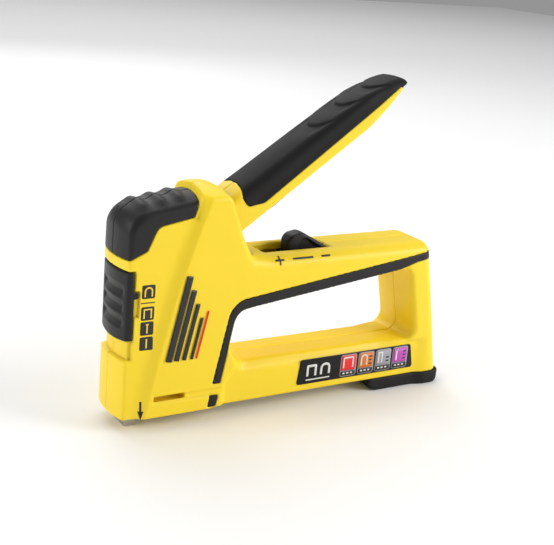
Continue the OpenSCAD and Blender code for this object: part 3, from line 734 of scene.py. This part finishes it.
def plastic(name, colour, rough, grain=0.35, depth=0.03, highlight_colour=None, painted_shade=0.35, coat=0.0, edges=True,
    shine=0.35):
    """Moulded plastic: fine grain, an uneven gloss, painted highlights on convex edges and painted shade in
    hollows.
    """
    f = Finish(name)
    cloud = f.noise(34, 3, 0.55)
    fine = f.noise(grain, 2, 0.6)
    pits = f.spots(grain * 2.2, 3.1)
    scuff = f.noise(2.6, 4, 0.7, (7, 1, 1.4), 5.0)
    base = f.blend(cloud, [c * 0.965 for c in colour], [min(1.0, c * 1.03) for c in colour])
    streak = ((scuff - 0.62) * 6.0).limited()
    gloss = rough + (cloud - 0.5) * 0.10 + (fine - 0.5) * 0.08
    if edges:
        edge = f.attribute("edge")
        # painted highlight: convex edges are painted lighter and made a little glossier
        painted_highlight = ((edge - 0.16) * 3.0 * (0.5 + cloud)).limited()
        # painted shade: hollows and inner corners are painted darker
        hollow = ((-0.14 + edge * -1.0) * 3.0).limited()
        highlight_colour = highlight_colour or [min(1.0, c * 1.1 + 0.004) for c in colour]
        base = f.blend(painted_highlight * 0.55, base, highlight_colour)
        base = f.blend(hollow * painted_shade, base, [c * 0.55 for c in colour])
        gloss = gloss - painted_highlight * 0.08
    gloss = gloss + streak * 0.06
    height = fine * 0.6 + pits * 0.4
    return f.set(
        base_color=base, roughness=gloss.limited(0.12, 1.0), normal=f.bump(height, depth),
        coat_weight=coat, coat_roughness=0.3, specular_ior_level=shine,
    )


def steel(name, colour, rough, brushed=(14, 1, 1), mottled=0.12):
    """Steel with brushed or drawn lines, a mottled film and dark specks."""
    f = Finish(name)
    lines = f.noise(0.5, 3, 0.6, brushed)
    film = f.noise(7, 4, 0.6, seed=2.0)
    specks = (1.0 - f.spots(3.3, 1.7) * 5.0).limited()
    base = f.blend(film, [c * (1 - mottled) for c in colour], [min(1, c * (1 + mottled)) for c in colour])
    base = f.blend(specks * 0.35, base, [c * 0.35 for c in colour])
    gloss = rough + (lines - 0.5) * 0.16 + (film - 0.5) * 0.14
    return f.set(
        base_color=base, metallic=1.0, roughness=gloss.limited(0.08, 1.0), normal=f.bump(lines, 0.012)
    )


def ink(name, colour, rough=0.45):
    """Printed ink: slightly uneven cover and a soft sheen."""
    f = Finish(name)
    cover = f.noise(1.1, 3, 0.6)
    base = f.blend(cover, [c * 0.88 for c in colour], [min(1, c * 1.06 + 0.004) for c in colour])
    return f.set(base_color=base, roughness=(rough + (cover - 0.5) * 0.12).limited(),
        normal=f.bump(cover, 0.008))


def linear(colour):
    """A colour picked as it looks on screen, made linear."""
    return [c / 12.92 if c <= 0.04045 else ((c + 0.055) / 1.055) ** 2.4 for c in colour]


# Pieces ------------------------------------------------------------------------------------


def place_piece(name, mesh, body, slot, *stands_for):
    """Puts a finished mesh in the scene, on the CAD body it rides on."""
    piece = bpy.data.objects.new(name, mesh)
    bpy.context.scene.collection.objects.link(piece)
    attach(piece, body)
    if stands_for:
        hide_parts(*stands_for)


def add_piece(name, points, faces, finish, body, slot, *stands_for, edges=False):
    """A plain mesh piece whose vertices are already in place."""
    mesh = bpy.data.meshes.new(name)
    mesh.from_pydata(np.asarray(points) * MM, [], faces if isinstance(faces, list) else faces.tolist())
    mesh.update()
    mesh.shade_smooth()
    if edges:
        note_edges(mesh)
    mesh.materials.append(FINISHES[finish])
    place_piece(name, mesh, body, slot, *stands_for)


def mould(name, field, low, high, cell, finish, body, slot, node, turn=np.asarray):
    """A moulded piece: the skin of a field, turned into place, that stands for a CAD node."""
    points, faces = skin(field, low, high, cell)
    add_piece(name, turn(points), faces, finish, body, slot, node, edges=True)


def mould_pair(name, field, xs, ys, zs, cell, finish, body, slot, node, turn=np.asarray):
    """A left and a right moulding; ys are the pair's outer and inner bound on the right."""
    for side, word in SIDES:
        low, high = sorted(side * y for y in ys)
        mould(name.format(word), field(side), (xs[0], low, zs[0]), (xs[1], high, zs[1]), cell,
              finish, body, slot, node.format(word), turn)


def add_print(context, name, finish, *sheets, pitch=1.0, slot="badge_black"):
    """Printed marks on the housing, each sheet given as its outlines and the surface it lies on."""
    thick = context.scene.staple_gun_sizes.print_thickness / MM
    points, faces = merge(*(sheet_of(outlines, place, thick, pitch) for outlines, place in sheets))
    add_piece(name, points, faces, finish, "housing", slot)


def note_edges(mesh):
    """Stores how far each point stands proud of its neighbours, for painted highlights on edges and painted
    shade in corners.
    """
    n = len(mesh.vertices)
    co = np.zeros(n * 3)
    mesh.vertices.foreach_get("co", co)
    co = co.reshape(-1, 3)
    pairs = np.zeros(len(mesh.edges) * 2, int)
    mesh.edges.foreach_get("vertices", pairs)
    pairs = pairs.reshape(-1, 2)
    normals = np.zeros(n * 3)
    mesh.vertex_normals.foreach_get("vector", normals)
    normals = normals.reshape(-1, 3)

    def mean(values):
        total, count = np.zeros_like(values), np.zeros(n)
        for a, b in ((0, 1), (1, 0)):
            for k in range(values.shape[1]):
                total[:, k] += np.bincount(pairs[:, a], values[pairs[:, b], k], n)
            count += np.bincount(pairs[:, a], minlength=n)
        return total / np.maximum(count, 1)[:, None]

    proud = ((co - mean(co)) * normals).sum(1, keepdims=True) / (0.3 * MM)
    for _ in range(2):
        proud = 0.5 * proud + 0.5 * mean(proud)
    layer = mesh.attributes.new("edge", "FLOAT", "POINT")
    layer.data.foreach_set("value", np.clip(proud[:, 0] * 2, -1, 1).astype(np.float32))


def merge(*parts):
    points, faces, base = [], [], 0
    for p, f in parts:
        points.append(np.asarray(p))
        faces += [[base + i for i in q] for q in (f if isinstance(f, list) else f.tolist())]
        base += len(p)
    return np.concatenate(points), faces


def loft(rings):
    """A closed skin over rings of points, each ring in the same order."""
    n, points, faces = len(rings[0]), np.concatenate(rings), []
    for r in range(len(rings) - 1):
        for k in range(n):
            a, b = r * n + k, r * n + (k + 1) % n
            faces.append([a, b, b + n, a + n])
    faces.append(list(range(n))[::-1])
    faces.append([(len(rings) - 1) * n + k for k in range(n)])
    return points, faces


def new_tree(name, source, result, sizes):
    """An empty Geometry Nodes tree with its sockets, and its input node."""
    tree = bpy.data.node_groups.new(name, "GeometryNodeTree")
    face = tree.interface
    face.new_socket(source, in_out="INPUT", socket_type="NodeSocketGeometry")
    for label, value in sizes:
        kind = "NodeSocketInt" if isinstance(value, int) else "NodeSocketFloat"
        face.new_socket(label, in_out="INPUT", socket_type=kind).default_value = value
    face.new_socket("Finish", in_out="INPUT", socket_type="NodeSocketMaterial")
    face.new_socket(result, in_out="OUTPUT", socket_type="NodeSocketGeometry")
    return tree, tree.nodes.new("NodeGroupInput")


def end_tree(tree, start, shape):
    """Makes a tree's shape real, sets its material and sends it out."""
    add, link = tree.nodes.new, tree.links.new
    real, paint = add("GeometryNodeRealizeInstances"), add("GeometryNodeSetMaterial")
    link(shape, real.inputs[0])
    link(real.outputs[0], paint.inputs["Geometry"])
    link(start.outputs["Finish"], paint.inputs["Material"])
    link(paint.outputs[0], add("NodeGroupOutput").inputs[0])
    return tree


def sweep_tree():
    """Geometry Nodes that turn a path into round wire."""
    sizes = (("Wire Diameter", 1.0 * MM), ("Sides", 12))
    tree, start = new_tree("Wire along a path", "Path", "Wire", sizes)
    add, link = tree.nodes.new, tree.links.new
    half = add("ShaderNodeMath")
    half.operation = "MULTIPLY"
    half.inputs[1].default_value = 0.5
    circle = add("GeometryNodeCurvePrimitiveCircle")
    wire = add("GeometryNodeCurveToMesh")
    wire.inputs["Fill Caps"].default_value = True
    smooth = add("GeometryNodeSetShadeSmooth")
    link(start.outputs["Wire Diameter"], half.inputs[0])
    link(half.outputs[0], circle.inputs["Radius"])
    link(start.outputs["Sides"], circle.inputs["Resolution"])
    link(start.outputs["Path"], wire.inputs["Curve"])
    link(circle.outputs[0], wire.inputs["Profile Curve"])
    link(wire.outputs[0], smooth.inputs[0])
    return end_tree(tree, start, smooth.outputs[0])


def screw_tree():
    """Geometry Nodes that put a cross-recessed screw at each point, along Y."""
    sizes = (
        ("Head Diameter", 6.8), ("Head Height", 2.0), ("Shank Diameter", 3.5),
        ("Shank Length", 24.0), ("Recess Width", 0.8), ("Recess Span", 3.6),
    )
    sizes = [(name, value * MM) for name, value in sizes]
    tree, start = new_tree("Cross-recessed screws", "Places", "Screws", sizes)
    add, link = tree.nodes.new, tree.links.new

    def put(node, values):
        for socket, value in zip(node.inputs, values):
            if isinstance(value, bpy.types.NodeSocket):
                link(value, socket)
            else:
                socket.default_value = value
        return node.outputs[0]

    def maths(operation, a, b):
        node = add("ShaderNodeMath")
        node.operation = operation
        return put(node, (a, b))

    def size(*values):
        return put(add("ShaderNodeCombineXYZ"), values)

    def rod(radius, top, length, taper=1.0):
        node = add("GeometryNodeMeshCone")
        node.inputs["Vertices"].default_value = 40
        link(maths("MULTIPLY", radius, taper), node.inputs["Radius Top"])
        link(radius, node.inputs["Radius Bottom"])
        link(length, node.inputs["Depth"])
        move = add("GeometryNodeTransform")
        link(node.outputs["Mesh"], move.inputs["Geometry"])
        link(size(0.0, 0.0, top), move.inputs["Translation"])
        return move.outputs[0]

    out = start.outputs
    head_r = maths("MULTIPLY", out["Head Diameter"], 0.5)
    shank_r = maths("MULTIPLY", out["Shank Diameter"], 0.5)
    rim = maths("MULTIPLY", out["Head Height"], 0.55)
    crown = maths("MULTIPLY", out["Head Height"], 0.45)
    flat = maths("MULTIPLY", out["Head Height"], -1.0)
    parts = add("GeometryNodeMeshBoolean")
    parts.operation = "UNION"
    for piece in (
        rod(head_r, flat, rim),
        rod(head_r, maths("MULTIPLY", crown, -1.0), crown, 0.86),
        rod(shank_r, maths("SUBTRACT", flat, out["Shank Length"]), maths("ADD", out["Shank Length"], rim)),
    ):
        link(piece, parts.inputs["Mesh 2"])
    recess = add("GeometryNodeMeshBoolean")
    recess.operation = "DIFFERENCE"
    link(parts.outputs[0], recess.inputs["Mesh 1"])
    for x, y in ((out["Recess Span"], out["Recess Width"]), (out["Recess Width"], out["Recess Span"])):
        slot = add("GeometryNodeMeshCube")
        link(size(x, y, 0.0024), slot.inputs["Size"])
        link(slot.outputs["Mesh"], recess.inputs["Mesh 2"])
    turn = add("GeometryNodeInstanceOnPoints")
    turn.inputs["Rotation"].default_value = (-math.pi / 2, 0.0, 0.0)
    link(start.outputs["Places"], turn.inputs["Points"])
    link(recess.outputs[0], turn.inputs["Instance"])
    return end_tree(tree, start, turn.outputs[0])


def grown(name, source, tree, inputs):
    """The plain mesh that a Geometry Nodes tree makes on a source object; the source is removed."""
    holder = bpy.data.objects.new(name + "_source", source)
    bpy.context.scene.collection.objects.link(holder)
    modifier = holder.modifiers.new("Nodes", "NODES")
    modifier.node_group = tree
    for item in tree.interface.items_tree:
        if item.item_type == "SOCKET" and item.in_out == "INPUT" and item.name in inputs:
            modifier[item.identifier] = inputs[item.name]
    bpy.context.view_layer.update()
    shape = holder.evaluated_get(bpy.context.evaluated_depsgraph_get())
    mesh = bpy.data.meshes.new_from_object(shape)
    holder.modifiers.clear()
    bpy.data.objects.remove(holder)
    mesh.name = name
    return mesh


def path_curve(name, points):
    curve = bpy.data.curves.new(name, "CURVE")
    curve.dimensions = "3D"
    line = curve.splines.new("POLY")
    line.points.add(len(points) - 1)
    for p, q in zip(line.points, points):
        p.co = (*(np.array(q) * MM), 1.0)
    return curve


def points_mesh(name, points):
    mesh = bpy.data.meshes.new(name)
    mesh.from_pydata(np.asarray(points, float) * MM, [], [])
    return mesh


# Sizes and colours a user may change -------------------------------------------------------


def colour_prop(name, description, default):
    return bpy.props.FloatVectorProperty(
        name=name, description=description, default=default, subtype="COLOR", size=3, min=0.0, max=1.0
    )


def length_prop(name, description, default):
    return bpy.props.FloatProperty(
        name=name, description=description, default=default, subtype="DISTANCE", unit="LENGTH"
    )


class StapleGunSizes(bpy.types.PropertyGroup):
    """How finely the shells and prints are made."""

    housing_cell: length_prop("Housing grain", "Spacing of the housing's mesh", 0.6 * MM)
    small_cell: length_prop("Small part grain", "Spacing of the small parts' mesh", 0.38 * MM)
    print_thickness: length_prop("Print thickness", "Thickness of the printed marks", 0.08 * MM)
    wire_sides: bpy.props.IntProperty(
        name="Wire sides", description="Sides of each spring wire", default=14, min=6, max=32
    )
    floor_size: length_prop("Floor size", "Width of the studio floor", 6.0)


class StapleGunColours(bpy.types.PropertyGroup):
    """Colours of the mouldings, prints and metal parts."""

    yellow: colour_prop("Yellow", "Housing and lever shells", linear((0.985, 0.855, 0.17)))
    black: colour_prop("Black", "Cover, bands and knob", (0.0115, 0.0108, 0.0106))
    selector: colour_prop("Selector", "Selector slide", (0.0095, 0.0092, 0.009))
    grip: colour_prop("Grip", "Soft grip of the lever", (0.0065, 0.0060, 0.0056))
    badge: colour_prop("Badge", "Plate on the rail", (0.0065, 0.006, 0.0056))
    steel: colour_prop("Steel", "Plated steel parts", linear((0.72, 0.71, 0.70)))


FINISHES = {}


class STAPLEGUN_OT_finishes(bpy.types.Operator):
    """Make every material and give the CAD nodes that stay their finish"""

    bl_idname = "staplegun.finishes"
    bl_label = "Finishes"

    def execute(self, context):
        tint = context.scene.staple_gun_colours
        bright = list(tint.steel)
        FINISHES.update(
            # each plastic below gets painted shade in its hollows and a painted highlight on its convex
            # edges, set per finish
            yellow=plastic("Yellow moulding", list(tint.yellow), 0.40, 0.5, 0.022, painted_shade=0.5),
            black=plastic("Black moulding", list(tint.black), 0.46, 0.45, 0.04, highlight_colour=(0.026, 0.026, 0.025),
                painted_shade=0.3, shine=0.3),
            selector=plastic("Selector moulding", list(tint.selector), 0.40, 0.4, 0.03,
                highlight_colour=(0.03, 0.029, 0.028), painted_shade=0.3, shine=0.3),
            grip=plastic("Soft grip", list(tint.grip), 0.60, 0.6, 0.06, highlight_colour=(0.018, 0.018, 0.017), painted_shade=0.35,
                shine=0.22),
            foot=plastic("Foot rubber", list(tint.black), 0.62, 0.7, 0.05, highlight_colour=(0.018, 0.018, 0.017),
                shine=0.25),
            badge=plastic("Badge film", list(tint.badge), 0.30, 0.3, 0.006, edges=False, shine=0.25),
            clip=plastic("Magazine moulding", list(tint.black), 0.45, 0.45, 0.03, edges=False),
            stopper=plastic("Stop rubber", linear((0.12, 0.12, 0.12)), 0.75, 0.8, 0.07, edges=False),
            bright_steel=steel("Plated steel", bright, 0.30),
            strip_steel=steel("Strip steel", [c * 0.9 for c in bright], 0.34, (1, 1, 14)),
            spring_steel=steel("Blue-grey spring steel", [c * 0.42 for c in bright], 0.36, (18, 1, 1), 0.2),
            dark_steel=steel("Phosphated steel", linear((0.31, 0.31, 0.32)), 0.52, (3, 3, 1), 0.2),
            wire_steel=steel("Spring wire", [c * 0.75 for c in bright], 0.28, (4, 4, 4)),
            screw_steel=steel("Screw steel", [c * 0.62 for c in bright], 0.33, (2, 2, 2), 0.2),
            ink_black=ink("Black print", (0.010, 0.0085, 0.0075)),
            ink_yellow=ink("Yellow print", linear((0.98, 0.85, 0.25))),
            ink_red=ink("Red print", linear((0.93, 0.10, 0.13))),
            ink_orange=ink("Orange print", linear((0.87, 0.47, 0.09))),
            ink_grey=ink("Grey print", linear((0.62, 0.62, 0.65))),
            ink_purple=ink("Purple print", linear((0.76, 0.28, 0.72))),
            ink_white=ink("White print", linear((0.90, 0.90, 0.88))),
        )
        kept = {
            "bright_steel": ("nose_tip", "pivot_pin", "pivot_sleeve", "lift_pin", "spring_anchor",
                "fulcrum_roller", "pusher_rod"),
            "strip_steel": ("striker_guide", "driver_blade", "magazine_channel"),
            "spring_steel": ("selector_spring", "power_spring"),
            "dark_steel": ("lever_channel", "striker_block", "pusher"),
            "clip": ("magazine_end", "magazine_latch"),
            "stopper": ("stop_pad",),
        }
        for finish, nodes in kept.items():
            for node in nodes:
                for slot in frame["nodes"][node].material_slots:
                    slot.material = FINISHES[finish]
        return {"FINISHED"}


def small_grain(context, coarser=1.0):
    return context.scene.staple_gun_sizes.small_cell / MM * coarser


class STAPLEGUN_OT_housing(bpy.types.Operator):
    """Make both housing halves"""

    bl_idname = "staplegun.housing"
    bl_label = "Housing halves"

    def execute(self, context):
        cell = context.scene.staple_gun_sizes.housing_cell / MM
        mould_pair("{}_housing_shell", housing_field, (-11, TAIL_X + 2), (18.2, -0.6), (5.0, HUMP_TOP + 2),
            cell,
                   "yellow", "housing", "yellow_plastic", "{}_housing")
        return {"FINISHED"}


class STAPLEGUN_OT_cover(bpy.types.Operator):
    """Make the black nose cover's halves"""

    bl_idname = "staplegun.cover"
    bl_label = "Nose cover"

    def execute(self, context):
        mould_pair("{}_cover", cover_field, (-10.4, 31), (14.6, -0.6), (83.6, 116),
            small_grain(context, 1.15),
                   "black", "housing", "black_plastic", "{}_nose_cover")
        return {"FINISHED"}


class STAPLEGUN_OT_bands(bpy.types.Operator):
    """Make the bands that edge the hand opening"""

    bl_idname = "staplegun.bands"
    bl_label = "Trim bands"

    def execute(self, context):
        mould_pair("{}_band", band_field, (35, TAIL_X - 2), (17.8, 6.0), (6, 80), small_grain(context, 1.1),
                   "black", "housing", "black_plastic", "{}_trim_band")
        return {"FINISHED"}


class STAPLEGUN_OT_selector(bpy.types.Operator):
    """Make the selector slide"""

    bl_idname = "staplegun.selector"
    bl_label = "Selector"

    def execute(self, context):
        mould("selector_slide", selector_field, (-10.4, -14.8, 44), (1, 14.8, 80.2), small_grain(context),
              "selector", "selector_slide", "selector_black", "selector")
        return {"FINISHED"}


class STAPLEGUN_OT_lever(bpy.types.Operator):
    """Make the lever's two shells and its soft grip"""

    bl_idname = "staplegun.lever"
    bl_label = "Lever"

    def execute(self, context):
        end = LEVER_LENGTH + 2
        mould_pair("lever_{}_side", lever_field, (-12, end), (12.2, -0.6), (-12.4, 11),
            small_grain(context, 1.2),
                   "yellow", "lever", "yellow_plastic", "lever_{}_shell", on_lever)
        mould("soft_grip", grip_field, (12, -12.8, -6), (end, 12.8, 11), small_grain(context, 1.15),
              "grip", "lever", "soft_grip", "lever_grip", on_lever)
        return {"FINISHED"}


class STAPLEGUN_OT_knob(bpy.types.Operator):
    """Make the power adjuster's knob"""

    bl_idname = "staplegun.knob"
    bl_label = "Power adjuster"

    def execute(self, context):
        mould("power_knob", knob_field, (82, -10, 71), (107.4, 10, 90.5), small_grain(context),
              "black", "adjuster", "black_plastic", "adjuster_knob")
        return {"FINISHED"}


class STAPLEGUN_OT_foot(bpy.types.Operator):
    """Make the black foot under the rail"""

    bl_idname = "staplegun.foot"
    bl_label = "Foot"

    def execute(self, context):
        low, high = (TAIL_X - 50, -17.8, -0.8), (TAIL_X + 1, 17.8, 8)
        mould("rear_foot", foot_field, low, high, small_grain(context, 1.2),
              "foot", "magazine", "foot_black", "magazine_foot")
        return {"FINISHED"}


class STAPLEGUN_OT_prints(bpy.types.Operator):
    """Print the pictograms, the arrow, the power marks and the plain stripes"""

    bl_idname = "staplegun.prints"
    bl_label = "Printed marks"

    def execute(self, context):
        lows = (66.2, 55.7, 48.4, 41.0)
        marks = [tile(-0.2, z, 6.4, z + 6.6, 0.8) for z in lows]
        marks.append(stroke(-0.5, 64.15, 6.6, 64.15, 0.55))
        head = [(0.15, 11.1, 0.2), (1.35, 6.9, 0.1), (1.65, 6.9, 0.1), (2.85, 11.1, 0.2), (1.5, 10.5, 0.1)]
        marks += [stroke(1.5, 15.6, 1.5, 10.6, 0.95), rounded(head)]
        for i, (top, width) in enumerate(((55.0, 1.6), (62.0, 2.2), (69.0, 2.8), (76.0, 3.4))):
            marks.append(self.slanted(31.4 - i * 4.0, top, width))
        add_print(context, "black_prints", "ink_black", (marks, on_left(0.04)))
        level = ((69.3, 79.0, 74.3, 79.0), (79.4, 79.1, 91.2, 79.1), (96.2, 79.2, 101.3, 79.2))
        add_print(
            context, "power_marks", "ink_black", ([stroke(*ends, 0.75) for ends in level], on_shoulder(0.04)),
            ([stroke(71.8, 76.9, 71.8, 80.6, 0.75)], on_shoulder(0.042)), pitch=0.7,
        )
        z = lows[2]
        nail = [(2.85, z + 0.9, 0.1), (3.55, z + 0.9, 0.1), (3.55, z + 4.6, 0.2), (4.1, z + 5.5, 0.1),
                (2.3, z + 5.5, 0.1), (2.85, z + 4.6, 0.2)]
        glyphs = [
            arch(1.0, lows[0] + 0.9, 5.3, lows[0] + 5.6, 0.75, 2.1),
            arch(1.0, lows[1] + 0.9, 5.3, lows[1] + 5.6, 0.7, 0.35),
            rounded(nail),
            stroke(3.2, lows[3] + 1.0, 3.2, lows[3] + 5.6, 0.75),
        ]
        add_print(context, "icon_glyphs", "ink_yellow", (glyphs, on_left(0.09)), slot="yellow_plastic")
        add_print(context, "red_stripe", "ink_red", ([self.slanted(34.0, 58.0, 0.95)], on_left(0.04)))
        return {"FINISHED"}

    def slanted(self, x, top, width):
        """A stripe that leans with the ramp."""
        lean, foot = 0.21, 34.6
        return stroke(x - (61 - foot) * lean, foot, x - (61 - top) * lean, top, width)


class STAPLEGUN_OT_badge(bpy.types.Operator):
    """Make the plate on the rail with its four coloured tiles"""

    bl_idname = "staplegun.badge"
    bl_label = "Badge"

    def execute(self, context):
        plate = rounded([(88.2, 11, 1.4), (TAIL_X - 21, 11, 1.4), (TAIL_X - 23.8, 24.5, 1.4),
            (89.8, 24.5, 1.4)])
        rings = []
        for inset, lift in ((0.0, 0.0), (0.0, 0.3), (0.12, 0.44), (0.3, 0.5)):
            centre = plate.mean(0)
            shrink = 1 - inset / np.array([36.0, 6.6])
            rings.append(np.array([[u, -(RAIL_HALF + lift), v] for u,
                v in centre + (plate - centre) * shrink]))
        add_piece("badge_plate", *loft(rings), "badge", "housing", "badge_black", "left_badge")

        def lay(name, finish, outlines, lift):
            add_print(context, name, finish, (outlines, on_badge(lift)), pitch=3.0)

        rims, strips, lines, dashes, glyphs = [], [], [], [], []
        for i, name in enumerate(("red", "orange", "grey", "purple")):
            u = 114.6 + i * 11.25
            rims.append(tile(u, 11.8, u + 10.2, 24.0, 1.4))
            lay(f"tile_{name}", "ink_" + name, [tile(u + 0.5, 15.2, u + 9.7, 23.5, 0.9)], 0.62)
            strips.append(tile(u + 0.5, 12.3, u + 9.7, 14.9, 0.7))
            if i < 3:
                span, crown = ((6.6, 1.1), (4.4, 2.15), (3.0, 0.3))[i]
                lines.append(arch(u + 1.6, 16.6, u + 1.6 + span, 22.7, 0.8, crown))
            else:
                lines += [stroke(u + 2.6, 16.4, u + 2.6, 22.7, 0.9),
                    stroke(u + 1.7, 22.4, u + 3.5, 22.4, 0.7)]
            glyphs += [stroke(u + 7.0, z, u + 8.9, z, 0.8) for z in (17.2, 19.2, 21.2)[: i % 2 + 2] if i]
            dashes += [stroke(u + 1.8 + k * 2.4, 13.6, u + 3.1 + k * 2.4, 13.6, 0.8) for k in range(3)]
        white = [arch(93.6, 15.2, 99.8, 21.4, 1.3, 0.8), arch(102.0, 15.2, 108.2, 21.4, 1.3, 2.8)]
        white.append(stroke(93.6, 13.2, 108.2, 13.2, 0.7))
        lay("tile_rims", "ink_grey", rims, 0.56)
        lay("tile_strips", "ink_black", strips, 0.62)
        lay("tile_glyphs", "ink_black", glyphs, 0.68)
        lay("tile_pictures", "ink_white", lines + dashes, 0.70)
        lay("badge_pictures", "ink_white", white, 0.56)
        return {"FINISHED"}


class STAPLEGUN_OT_springs(bpy.types.Operator):
    """Wind the lever, pusher and latch springs"""

    bl_idname = "staplegun.springs"
    bl_label = "Springs"

    def execute(self, context):
        sides = context.scene.staple_gun_sizes.wire_sides
        tree = sweep_tree()
        px, pz = PIVOT
        turn = 27.49  # a little over four turns
        angles = np.linspace(0, turn, 260)
        coil = [(px - 6.4 * math.cos(a), -4 + 8 * a / turn, pz - 6.4 * math.sin(a)) for a in angles]
        c, s = math.cos(LEVER_SLOPE), math.sin(LEVER_SLOPE)
        arm = [(px + u * c - v * s, 4.0, pz + u * s + v * c) for u,
            v in ((6.0, -6.25), (12, -5.4), (25, -2.7))]
        lever = [(px - 6.4, -4.0, pz + 10)] + coil + arm
        floor = RAIL_BOTTOM + 0.2
        rod = floor + 1.2 + 6.2
        rear = TAIL_X - 16
        pusher = self.coil(26.9, rear - 8.9, 26, 2.5, rod)
        latch = self.coil(TAIL_X - 14.6, TAIL_X - 9.0, 4, 2.6, 16.4)
        for name, points, wire, node in (
            ("lever_spring", lever, 1.3, "return_spring"),
            ("magazine_spring", pusher, 0.7, "pusher_spring"),
            ("catch_spring", latch, 0.7, "latch_spring"),
        ):
            inputs = {"Wire Diameter": wire * MM, "Sides": sides, "Finish": FINISHES["wire_steel"]}
            mesh = grown(name, path_curve(name + "_path", points), tree, inputs)
            place_piece(name, mesh, frame["nodes"][node]["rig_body"], "spring_steel", node)
        return {"FINISHED"}

    def coil(self, x0, x1, turns, radius, z):
        angles = np.linspace(0, turns * 2 * math.pi, turns * 28)
        return [(x0 + (x1 - x0) * a / angles[-1], radius * math.cos(a),
            z + radius * math.sin(a)) for a in angles]


class STAPLEGUN_OT_screws(bpy.types.Operator):
    """Put in the housing screws and the lever screws"""

    bl_idname = "staplegun.screws"
    bl_label = "Screws"

    def execute(self, context):
        tree = screw_tree()
        head = BODY_HALF - 3.2
        case = {"Shank Length": head + BODY_HALF - 5.4 - 2.0}
        small = {
            "Head Diameter": 4.6, "Head Height": 1.28, "Shank Diameter": 2.8,
            "Shank Length": 9.6 + LEVER_HALF, "Recess Width": 0.6, "Recess Span": 2.8,
        }
        places = [(x, head, z) for x, z in SCREW_PLACES]
        y = LEVER_HALF + 1.3
        spots = on_lever(np.array([[LEVER_LENGTH - back, y, LEVER_SCREW_Z] for back in (59, 31)]))
        for name, points, sizes, body, node in (
            ("case_screws", places, case, "housing", "housing_screws"),
            ("lever_side_screws", spots, small, "lever", "lever_screws"),
        ):
            inputs = {key: value * MM for key, value in sizes.items()}
            inputs["Finish"] = FINISHES["screw_steel"]
            mesh = grown(name, points_mesh(name + "_places", points), tree, inputs)
            place_piece(name, mesh, body, "screw_steel", node)
        return {"FINISHED"}


class STAPLEGUN_OT_stage(bpy.types.Operator):
    """Set the pale floor, the soft lights and the camera"""

    bl_idname = "staplegun.stage"
    bl_label = "Stage"

    def execute(self, context):
        scene = context.scene
        half = scene.staple_gun_sizes.floor_size / 2
        mesh = bpy.data.meshes.new("floor")
        mesh.from_pydata([(-half, -half, 0), (half, -half, 0), (half, half, 0), (-half, half, 0)], [],
            [(0, 1, 2, 3)])
        floor = bpy.data.objects.new("floor", mesh)
        scene.collection.objects.link(floor)
        f = Finish("Pale floor")
        cloud = f.noise(400, 2, 0.5)
        f.set(base_color=f.blend(cloud, (0.93, 0.93, 0.93), (0.95, 0.95, 0.95)), roughness=0.8)
        mesh.materials.append(f.material)
        world = bpy.data.worlds.new("Studio")
        world.use_nodes = True
        world.node_tree.nodes["Background"].inputs[0].default_value = (1.0, 1.0, 1.0, 1.0)
        world.node_tree.nodes["Background"].inputs[1].default_value = 0.30
        scene.world = world
        scene.view_settings.view_transform = "Standard"
        target = Vector((0.085, 0.0, 0.07))
        for name, place, size, power in (
            ("right", (1.1, -0.8, 0.62), 0.75, 14.0),
            ("left", (-1.15, 0.1, 0.55), 0.7, 7.0),
            ("top", (0.35, 1.2, 2.5), 3.2, 46.0),
            ("back", (0.3, 1.2, 0.7), 0.7, 2.5),
        ):
            light = bpy.data.lights.new(name, "AREA")
            light.size, light.energy = size, power
            lamp = bpy.data.objects.new(name, light)
            lamp.location = place
            lamp.rotation_euler = (target - Vector(place)).to_track_quat("-Z", "Y").to_euler()
            scene.collection.objects.link(lamp)
        data = bpy.data.cameras.new("camera")
        data.lens, data.sensor_width, data.clip_start, data.clip_end = 71.49, 36.0, 0.01, 50.0
        camera = bpy.data.objects.new("camera", data)
        right, up, back = Vector((0.8494, -0.5206, 0.0870)), Vector((0.0855, 0.2985,
            0.9507)), Vector((-0.5208, -0.8000, 0.2980))
        turn = Matrix((right, up, back)).transposed().to_4x4()
        camera.matrix_world = Matrix.Translation(Vector((-0.2066, -0.4408, 0.2316))) @ turn
        scene.collection.objects.link(camera)
        scene.camera = camera
        return {"FINISHED"}


STEPS = (
    STAPLEGUN_OT_finishes, STAPLEGUN_OT_housing, STAPLEGUN_OT_cover, STAPLEGUN_OT_bands,
    STAPLEGUN_OT_selector, STAPLEGUN_OT_lever,
    STAPLEGUN_OT_knob, STAPLEGUN_OT_foot, STAPLEGUN_OT_prints, STAPLEGUN_OT_badge, STAPLEGUN_OT_springs,
    STAPLEGUN_OT_screws,
    STAPLEGUN_OT_stage,
)


class STAPLEGUN_PT_panel(bpy.types.Panel):
    bl_label = "Staple gun"
    bl_idname = "STAPLEGUN_PT_panel"
    bl_space_type = "VIEW_3D"
    bl_region_type = "UI"
    bl_category = "Staple gun"

    def draw(self, context):
        for group in (context.scene.staple_gun_sizes, context.scene.staple_gun_colours):
            for name in type(group).__annotations__:
                self.layout.prop(group, name)
        for step in STEPS:
            self.layout.operator(step.bl_idname)


CLASSES = (StapleGunSizes, StapleGunColours, *STEPS, STAPLEGUN_PT_panel)


def register():
    for cls in CLASSES:
        bpy.utils.register_class(cls)
    bpy.types.Scene.staple_gun_sizes = bpy.props.PointerProperty(type=StapleGunSizes)
    bpy.types.Scene.staple_gun_colours = bpy.props.PointerProperty(type=StapleGunColours)


def unregister():
    del bpy.types.Scene.staple_gun_colours
    del bpy.types.Scene.staple_gun_sizes
    for cls in reversed(CLASSES):
        bpy.utils.unregister_class(cls)


def main():
    register()
    for step in STEPS:
        group, name = step.bl_idname.split(".")
        getattr(getattr(bpy.ops, group), name)()


if __name__ == "__main__":
    main()
